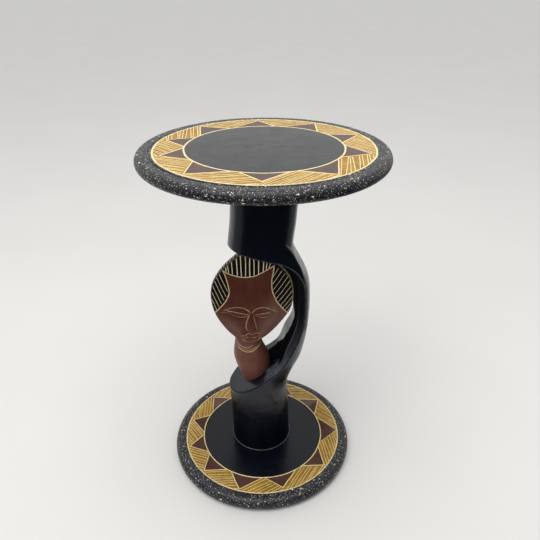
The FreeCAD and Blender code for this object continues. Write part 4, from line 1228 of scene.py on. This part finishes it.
def hair_field():
    p = Panel()
    rng = np.random.default_rng(19)
    rim = RIM
    p.area(rim, "face")
    left = catmull(LINE_LEFT, 1.5)
    right = catmull(LINE_RIGHT, 1.5)
    top = catmull(LINE_TOP, 1.5)
    # hair: what lies outside the three lines
    c = np.array(HEAD_CENTRE)
    far = lambda q: c + (q - c) * 2.0
    p.area(np.vstack([top, far(top[::-1])]), "hair")
    p.area(np.vstack([left, far(left[::-1])]), "hair")
    p.area(np.vstack([right, far(right[::-1])]), "hair")
    p.area(catmull(MOUTH, 1.2, True), "lip")
    for line in (top, left, right):
        p.groove(wobble(line, 9.0, 0.15, 5), 1.45, 0.5, "outline")
    for group, w in ((TOP_BARS, 1.15), (LEFT_BARS, 0.68), (RIGHT_BARS, 0.62)):
        for a, b in group:
            a, b = np.array(a), np.array(b)
            line = wobble(a + (b - a) * np.linspace(0, 1, max(4, int(np.linalg.norm(b - a) / 2.2)))[:, None], 8.0, 0.22, int(rng.integers(1000)))
            p.groove(line, w * (0.85 + 0.3 * rng.random()), 0.5, "gold")
    # the edge of the face carries a thin gold line as well
    n = len(rim)
    t = np.roll(rim, -1, 0) - np.roll(rim, 1, 0)
    t /= np.linalg.norm(t, axis=1)[:, None]
    inward = np.stack([-t[:, 1], t[:, 0]], 1)
    if ((c - rim) * inward).sum() < 0:
        inward = -inward
    high = rim[:, 1] > 284.0
    idx = np.nonzero(high)[0]
    start = idx[np.argmax(np.diff(np.r_[idx[-1] - n, idx]))] if len(idx) else 0
    run = np.roll(np.arange(n), -start)[:high.sum()]
    edge = (rim + inward * 0.80)[run]
    side = smooth01((edge[:, 0] + 45.0) / 30.0)
    right_side = smooth01((edge[:, 0] - 18.0) / 12.0)
    p.groove(edge, (0.55 + 0.45 * side + 0.50 * right_side) * (1 + 0.30 * noise(edge[:, 0], edge[:, 1], 2.0, 3.0, 12)), 0.3, "rim")
    for pts, w, d in FACE_LINES:
        line = wobble(catmull(pts, 1.2), 6.0, 0.16, int(rng.integers(1000)))
        k = len(line)
        ends = np.minimum(np.arange(k), np.arange(k)[::-1]) / 3.0
        p.groove(line, 1.18 * w * (0.35 + 0.65 * smooth01(ends)) * (1 + 0.22 * noise(line[:, 0], line[:, 1], 0, 3.0, 8)), d, "worn")
    # loose points for the relief
    g = np.arange(-75.0, 52.0, 1.35)
    gx, gz = np.meshgrid(g, np.arange(225.0, 390.0, 1.35))
    loose = np.stack([gx.ravel(), gz.ravel()], 1) + rng.uniform(-0.3, 0.3, (gx.size, 2))
    u = face_height(loose[:, 0], loose[:, 1])
    p.points += [Vector(q) for q in loose[u < 0.985]]
    return p


def build_head():
    p = hair_field()
    v, tri, lab = p.solve({"none": -1, "face": 0, "lip": 1, "hair": 2, "rim": 3, "gold": 4, "outline": 5, "worn": 6}, "none")
    tri, good = counter_clockwise(v, tri)
    mid = v[tri].mean(1)
    a = np.arctan2(mid[:, 1] - HEAD_CENTRE[1], mid[:, 0] - HEAD_CENTRE[0])
    u = np.hypot(mid[:, 0] - HEAD_CENTRE[0], mid[:, 1] - HEAD_CENTRE[1]) / np.interp(a, RIM_A, RIM_R)
    keep = good & (u < 1.0)
    tri, lab = tri[keep], lab[keep]
    d = p.depth(v)
    uu = face_height(v[:, 0], v[:, 1])
    y = face_y(uu) - relief(v[:, 0], v[:, 1]) * smooth01((1 - uu) / 0.06) + d * smooth01((1.005 - uu) / 0.02)
    y += 0.06 * noise(v[:, 0], v[:, 1], 0, 7.0, 31)
    front = tilt(np.column_stack([v[:, 0], y, v[:, 1]]))
    under = tilt(np.column_stack([v[:, 0] * 1.0, np.minimum(face_y(uu) + 2.2, -28.2), v[:, 1]]))
    for key, label, slot, mat in (("face", "face", "face_brown_paint", "face"), ("face_lips", "lip", "face_brown_paint", "lip"), ("face_hair", "hair", "hair_black_paint", "hair"), ("face_gold_lines", "gold", "gold_line_paint", "hair_gold"), ("face_outlines", "outline", "gold_line_paint", "outline_gold"), ("face_edge_line", "rim", "gold_line_paint", "rim_gold"), ("face_worn_lines", "worn", "gold_line_paint", "worn_gold")):
        vv, ff = shells(front, under, tri, lab == label)
        ob = new_piece("head_" + key, vv, ff, True, 32)
        hold(ob, "head_and_neck", MAT[mat])


build_head()


def build_skull():
    """The domed back of the head: incised hair above, bare jaw below."""
    c = np.array(HEAD_CENTRE)
    a_left = math.atan2(284.9 - c[1], -66.3 - c[0]) % (2 * math.pi)
    a_right = math.atan2(282.6 - c[1], 39.4 - c[0])
    bars = 46
    angle, kind = [], []
    span = a_left - a_right
    w = 0.0095
    for k in range(bars):
        m = a_right + span * (k + 0.5) / bars
        lo, hi = a_right + span * k / bars, a_right + span * (k + 1) / bars
        angle += [lo, m - w, m, m + w]
        kind += ["hair", "gold", "gold", "hair"]
    jaw = np.linspace(a_left, a_right + 2 * math.pi, 90, endpoint=False)
    angle += jaw.tolist()
    kind += ["jaw"] * len(jaw)
    angle = np.array(angle)
    mid = np.zeros(len(angle), bool)
    mid[2:4 * bars:4] = True
    reach = np.array([(0.36, 0.65, 0.51, 0.65)[i // 4 % 4] for i in range(len(angle))])
    kind = np.array(kind)
    wrapped = (angle + math.pi) % (2 * math.pi) - math.pi
    r = np.interp(wrapped, RIM_A, RIM_R)
    depth = pchip([-29.4, -24, -17, -9, -1, 7, 14, 20, 25, 27.4], [0.999, 1.0, 0.98, 0.94, 0.88, 0.80, 0.70, 0.57, 0.40, 0.0001])
    ys = np.r_[-29.4, -28.6, -27.6, np.arange(-26.0, 14.0, 1.8), 16.0, 18.0, 20.0, 21.6, 23.2, 24.6, 25.8, 26.6, 27.1]
    k = depth(ys)
    rows = []
    for j, (y, s) in enumerate(zip(ys, k)):
        groove = 0.5 * mid * (y > -27.8) * (s > reach)
        rr = r * s - groove
        rows.append(np.column_stack([c[0] + rr * np.cos(angle), np.full(len(angle), y), c[1] + rr * np.sin(angle)]))
    n, m = len(angle), len(rows)
    v = np.vstack(rows + [[[c[0], 27.4, c[1]]], [[c[0], -28.4, c[1]]]])
    quads, lab = [], []
    for j in range(m - 1):
        for i in range(n):
            i2 = (i + 1) % n
            quads.append([j * n + i, j * n + i2, (j + 1) * n + i2, (j + 1) * n + i])
            kd = kind[i]
            if kd == "gold" and (k[j] < (0.37, 0.66, 0.52, 0.66)[i // 4 % 4] or ys[j] < -28.0):
                kd = "hair"
            lab.append(kd)
    for i in range(n):
        quads.append([(m - 1) * n + i, (m - 1) * n + (i + 1) % n, m * n])
        lab.append("hair" if kind[i] != "jaw" else "jaw")
        quads.append([(i + 1) % n, i, m * n + 1])
        lab.append("jaw")
    v = tilt(v)
    ob = new_piece("head_back", v, quads, True, 40)
    me = ob.data
    me.materials.append(MAT["jaw"])
    me.materials.append(MAT["hair"])
    me.materials.append(MAT["hair_gold"])
    me.polygons.foreach_set("material_index", np.array([{"jaw": 0, "hair": 1, "gold": 2}[q] for q in lab], np.int32))
    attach(ob, "root")
    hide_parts("head_and_neck")
    return ob


skull = build_skull()


def build_neck():
    t = np.array(NECK, float)
    fx, fy, fr = (pchip(t[:, 0], t[:, k]) for k in (1, 2, 3))
    n = 120
    th = np.arange(n) * 2 * math.pi / n
    zs = np.r_[np.arange(138.0, 258.0, 1.6), 258.0]
    rows = []
    for z in zs:
        r = np.full(n, float(fr(z)))
        # the right side was cut flatter than the rest
        flat = 1 - 0.07 * np.exp(-((np.degrees(th) + 28.0) / 26.0) ** 2) * smooth01((z - 160) / 30.0)
        px, py = fx(z) + r * flat * np.cos(th), fy(z) + r * flat * np.sin(th)
        g = 0.25 * noise(px, py, z, 14.0, 77)
        rows.append(np.column_stack([px + g * np.cos(th), py + g * np.sin(th), np.full(n, z)]))
    m = len(rows)
    v = np.vstack(rows + [[[fx(138.0), fy(138.0), 138.0]], [[fx(258.0), fy(258.0), 258.0]]])
    quads = []
    for j in range(m - 1):
        for i in range(n):
            quads.append([j * n + i, j * n + (i + 1) % n, (j + 1) * n + (i + 1) % n, (j + 1) * n + i])
    for i in range(n):
        quads.append([(i + 1) % n, i, m * n])
        quads.append([(m - 1) * n + i, (m - 1) * n + (i + 1) % n, m * n + 1])
    ob = new_piece("neck", v, quads, True, 60)
    cut(ob, [turned_cutter("hole_g", [(0, DOWEL_Z[1] + 1), (DOWEL_R + 0.12, DOWEL_Z[1] + 1), (DOWEL_R + 0.12, DOWEL_Z[0] - 1), (0, DOWEL_Z[0] - 1)], DOWEL_XY, 40)])
    hold(ob, "head_and_neck", MAT["neck"])
    return ob, fx, fy, fr


neck, neck_x, neck_y, neck_r = build_neck()

def tube(name, path, radii, sides, closed):
    """A round-section body along a path of millimetre points; radii is one value or one for each point."""
    p = np.asarray(path, float)
    n = len(p)
    t = (np.roll(p, -1, 0) - np.roll(p, 1, 0)) if closed else np.gradient(p, axis=0)
    t /= np.linalg.norm(t, axis=1)[:, None]
    up = np.array([0.0, 0.0, 1.0])
    a = np.cross(t, up)
    a /= np.linalg.norm(a, axis=1)[:, None]
    b = np.cross(a, t)
    r = np.broadcast_to(np.asarray(radii, float), (n,))
    th = np.arange(sides) * 2 * math.pi / sides
    v = p[:, None] + r[:, None, None] * (np.cos(th)[None, :, None] * a[:, None] + np.sin(th)[None, :, None] * b[:, None])
    v = v.reshape(-1, 3)
    i, j = np.meshgrid(np.arange(n if closed else n - 1), np.arange(sides), indexing="ij")
    i2, j2 = (i + 1) % n, (j + 1) % sides
    f = np.stack([i * sides + j, i * sides + j2, i2 * sides + j2, i2 * sides + j], -1).reshape(-1, 4).tolist()
    if not closed:
        v = np.vstack([v, p[:1], p[-1:]])
        f += [[(k + 1) % sides, k, n * sides] for k in range(sides)]
        f += [[(n - 1) * sides + k, (n - 1) * sides + (k + 1) % sides, n * sides + 1] for k in range(sides)]
    return new_piece(name, v, f, True)


# the bead of lacquer that dried where the log stands on its disc; its pale grey is a painted highlight along the foot
th = np.arange(240) * 2 * math.pi / 240
bead_r = 0.85 + 0.18 * noise(60 * np.cos(th), 60 * np.sin(th), 0.0, 9.0, 91)
foot_r = LOWER_R + 1.15 + 0.25 * noise(60 * np.cos(th), 60 * np.sin(th), 4.0, 16.0, 92)
foot_x = float(lower_x(21.0))
bead = tube("foot_bead", np.column_stack([foot_x + foot_r * np.cos(th), CY + foot_r * np.sin(th), np.full(240, BASE_T + 0.25)]), bead_r, 12, True)
hold(bead, "column", MAT["bead"])


def on_neck(x, z):
    """The near side of the neck at a given x and height."""
    cx, cy, r = neck_x(z), neck_y(z), neck_r(z)
    return cy - np.sqrt(np.maximum(r * r - (x - cx) ** 2, 0.5))


for k, (pts, r) in enumerate((([(-37.6, 216.6), (-32.0, 211.6), (-22.2, 208.2), (-12.0, 209.4), (-3.6, 214.9), (0.2, 219.4)], 0.80),
                              ([(-36.6, 219.6), (-31.0, 215.0), (-22.0, 211.4), (-12.6, 212.4), (-4.6, 217.4)], 0.42),
                              ([(-38.6, 223.4), (-34.8, 219.8), (-29.0, 217.0), (-22.6, 215.6), (-15.4, 217.6), (-9.8, 221.0)], 0.50))):
    line = wobble(catmull(pts, 1.0), 5.0, 0.2, 60 + k)
    y = on_neck(line[:, 0], line[:, 1])
    n = len(line)
    taper = smooth01(np.minimum(np.arange(n), np.arange(n)[::-1]) / 5.0)
    hold(tube("collar_line_%d" % k, np.column_stack([line[:, 0], y + 0.25, line[:, 1]]), r * (0.35 + 0.65 * taper) * (1 + 0.2 * noise(line[:, 0], line[:, 1], 0, 4.0, 3)), 10, False),
         "head_and_neck", MAT["collar_gold"])

# ---------------------------------------------------------------- carried-over nodes
for name, key in (("neck_dowel", "dowel"), ("top_screws", "steel"), ("base_screws", "steel"), ("top_screw_plugs", "plug")):
    me = nodes[name].data
    me.materials.clear()
    me.materials.append(MAT[key])

# ---------------------------------------------------------------- floor, light, camera
bpy.ops.mesh.primitive_plane_add(size=60.0, location=(0, 10.0, 0))
floor = bpy.context.object
floor.name = "floor"
m, nt, b = material("floor_plain")
nt.links.new(ramp(nt, noise_tex(nt, coords(nt), 3.0, 2.0).outputs[0], [(0.3, (0.74, 0.735, 0.72)), (0.7, (0.76, 0.755, 0.74))]), b.inputs["Base Color"])
b.inputs["Roughness"].default_value = 0.8
b.inputs["Specular IOR Level"].default_value = 0.0
floor.data.materials.append(m)

# the far end of the room is bright, the near end dim
world = bpy.data.worlds.new("studio")
scene.world = world
world.use_nodes = True
wt = world.node_tree
bg = wt.nodes["Background"]
way = node(wt, "ShaderNodeSeparateXYZ", {"Vector": node(wt, "ShaderNodeTexCoord").outputs["Generated"]})
wt.links.new(ramp(wt, maths(wt, "ADD", maths(wt, "MULTIPLY", way.outputs["Y"], 0.5), 0.5),
                  [(0.0, (0.10, 0.10, 0.11)), (0.32, (0.16, 0.165, 0.18)), (0.62, (0.72, 0.72, 0.72)), (1.0, (0.80, 0.80, 0.785))]), bg.inputs["Color"])
bg.inputs["Strength"].default_value = 0.95

# flags: flat sheets that only reflections meet. The black one lies on the floor round the near side of the
# table, the grey ones beside it, and a narrow black one over the base's painted band.
def flag(name, first, last, radii, z, dark, light):
    fa = np.radians(np.linspace(first, last, max(3, int((last - first) / 4.5))))
    fv = np.array([[r * 1000 * math.sin(a), -r * 1000 * math.cos(a), z] for r in radii for a in fa])
    fi, fj = np.meshgrid(np.arange(len(radii) - 1), np.arange(len(fa) - 1), indexing="ij")
    k = len(fa)
    ob = new_piece(name, fv, np.stack([fi * k + fj, (fi + 1) * k + fj, (fi + 1) * k + fj + 1, fi * k + fj + 1], -1).reshape(-1, 4))
    m, nt, b = material(name)
    nt.links.new(ramp(nt, noise_tex(nt, coords(nt), 3.0, 2.0).outputs[0], [(0.3, (dark,) * 3), (0.7, (light,) * 3)]), b.inputs["Base Color"])
    b.inputs["Roughness"].default_value = 1.0
    b.inputs["Specular IOR Level"].default_value = 0.0
    ob.data.materials.append(m)
    ob.visible_camera = ob.visible_diffuse = ob.visible_shadow = False
    ob.visible_transmission = ob.visible_volume_scatter = False


flag("flag_near", -72.0, 98.0, (0.34, 0.8, 2.0, 5.0), 1.2, 0.004, 0.006)
flag("flag_left", -112.0, -72.0, (0.34, 0.8, 2.0, 5.0), 1.2, 0.26, 0.30)
flag("flag_right", 98.0, 138.0, (0.34, 0.8, 2.0, 5.0), 1.2, 0.20, 0.23)
flag("flag_band", -125.0, 125.0, (0.0985, 0.1210), BASE_T + 1.3, 0.004, 0.006)


def area_light(name, place, aim, size, power, colour=(1, 1, 1)):
    d = bpy.data.lights.new(name, "AREA")
    d.shape, d.size, d.size_y = "RECTANGLE", size[0], size[1]
    d.energy, d.color = power, colour
    o = bpy.data.objects.new(name, d)
    o.location = place
    o.rotation_mode = "QUATERNION"
    o.rotation_quaternion = (Vector(aim) - Vector(place)).to_track_quat("-Z", "Y")
    scene.collection.objects.link(o)
    return o


area_light("key", (-0.8, -1.0, 2.0), (0, 0, 0.3), (1.2, 1.2), 11, (1.0, 0.98, 0.95))
area_light("overhead", (0.0, -0.15, 2.3), (0, -0.1, 0.2), (1.5, 1.5), 14, (1.0, 0.99, 0.97))
sun = bpy.data.lights.new("sky_panel", "SUN")
sun.energy, sun.angle, sun.color = 1.25, math.radians(75), (1.0, 0.99, 0.975)
sun = bpy.data.objects.new("sky_panel", sun)
sun.rotation_euler = (math.radians(26), math.radians(-5), 0)
scene.collection.objects.link(sun)

cam_data = bpy.data.cameras.new("camera")
cam = bpy.data.objects.new("camera", cam_data)
scene.collection.objects.link(cam)
cam_data.sensor_width = 36.0
cam_data.lens = 545.96 / 540.0 * 36.0
cam_data.clip_start, cam_data.clip_end = 0.01, 60.0


def turn_x(a):
    return np.array([[1, 0, 0], [0, math.cos(a), -math.sin(a)], [0, math.sin(a), math.cos(a)]])


def turn_z(a):
    return np.array([[math.cos(a), -math.sin(a), 0], [math.sin(a), math.cos(a), 0], [0, 0, 1]])


R = turn_z(-0.0035) @ turn_x(0.5061) @ np.array([[1, 0, 0], [0, 0, -1], [0, 1, 0]], float) @ turn_z(0.0208)
M = Matrix(((*R[0], 0), (*(-R[1]), 0), (*(-R[2]), 0), (0, 0, 0, 1))).transposed()
M.translation = Vector((-0.0067, -0.6926, 0.7223))
cam.matrix_world = M
scene.camera = cam
scene.view_settings.view_transform = "Standard"
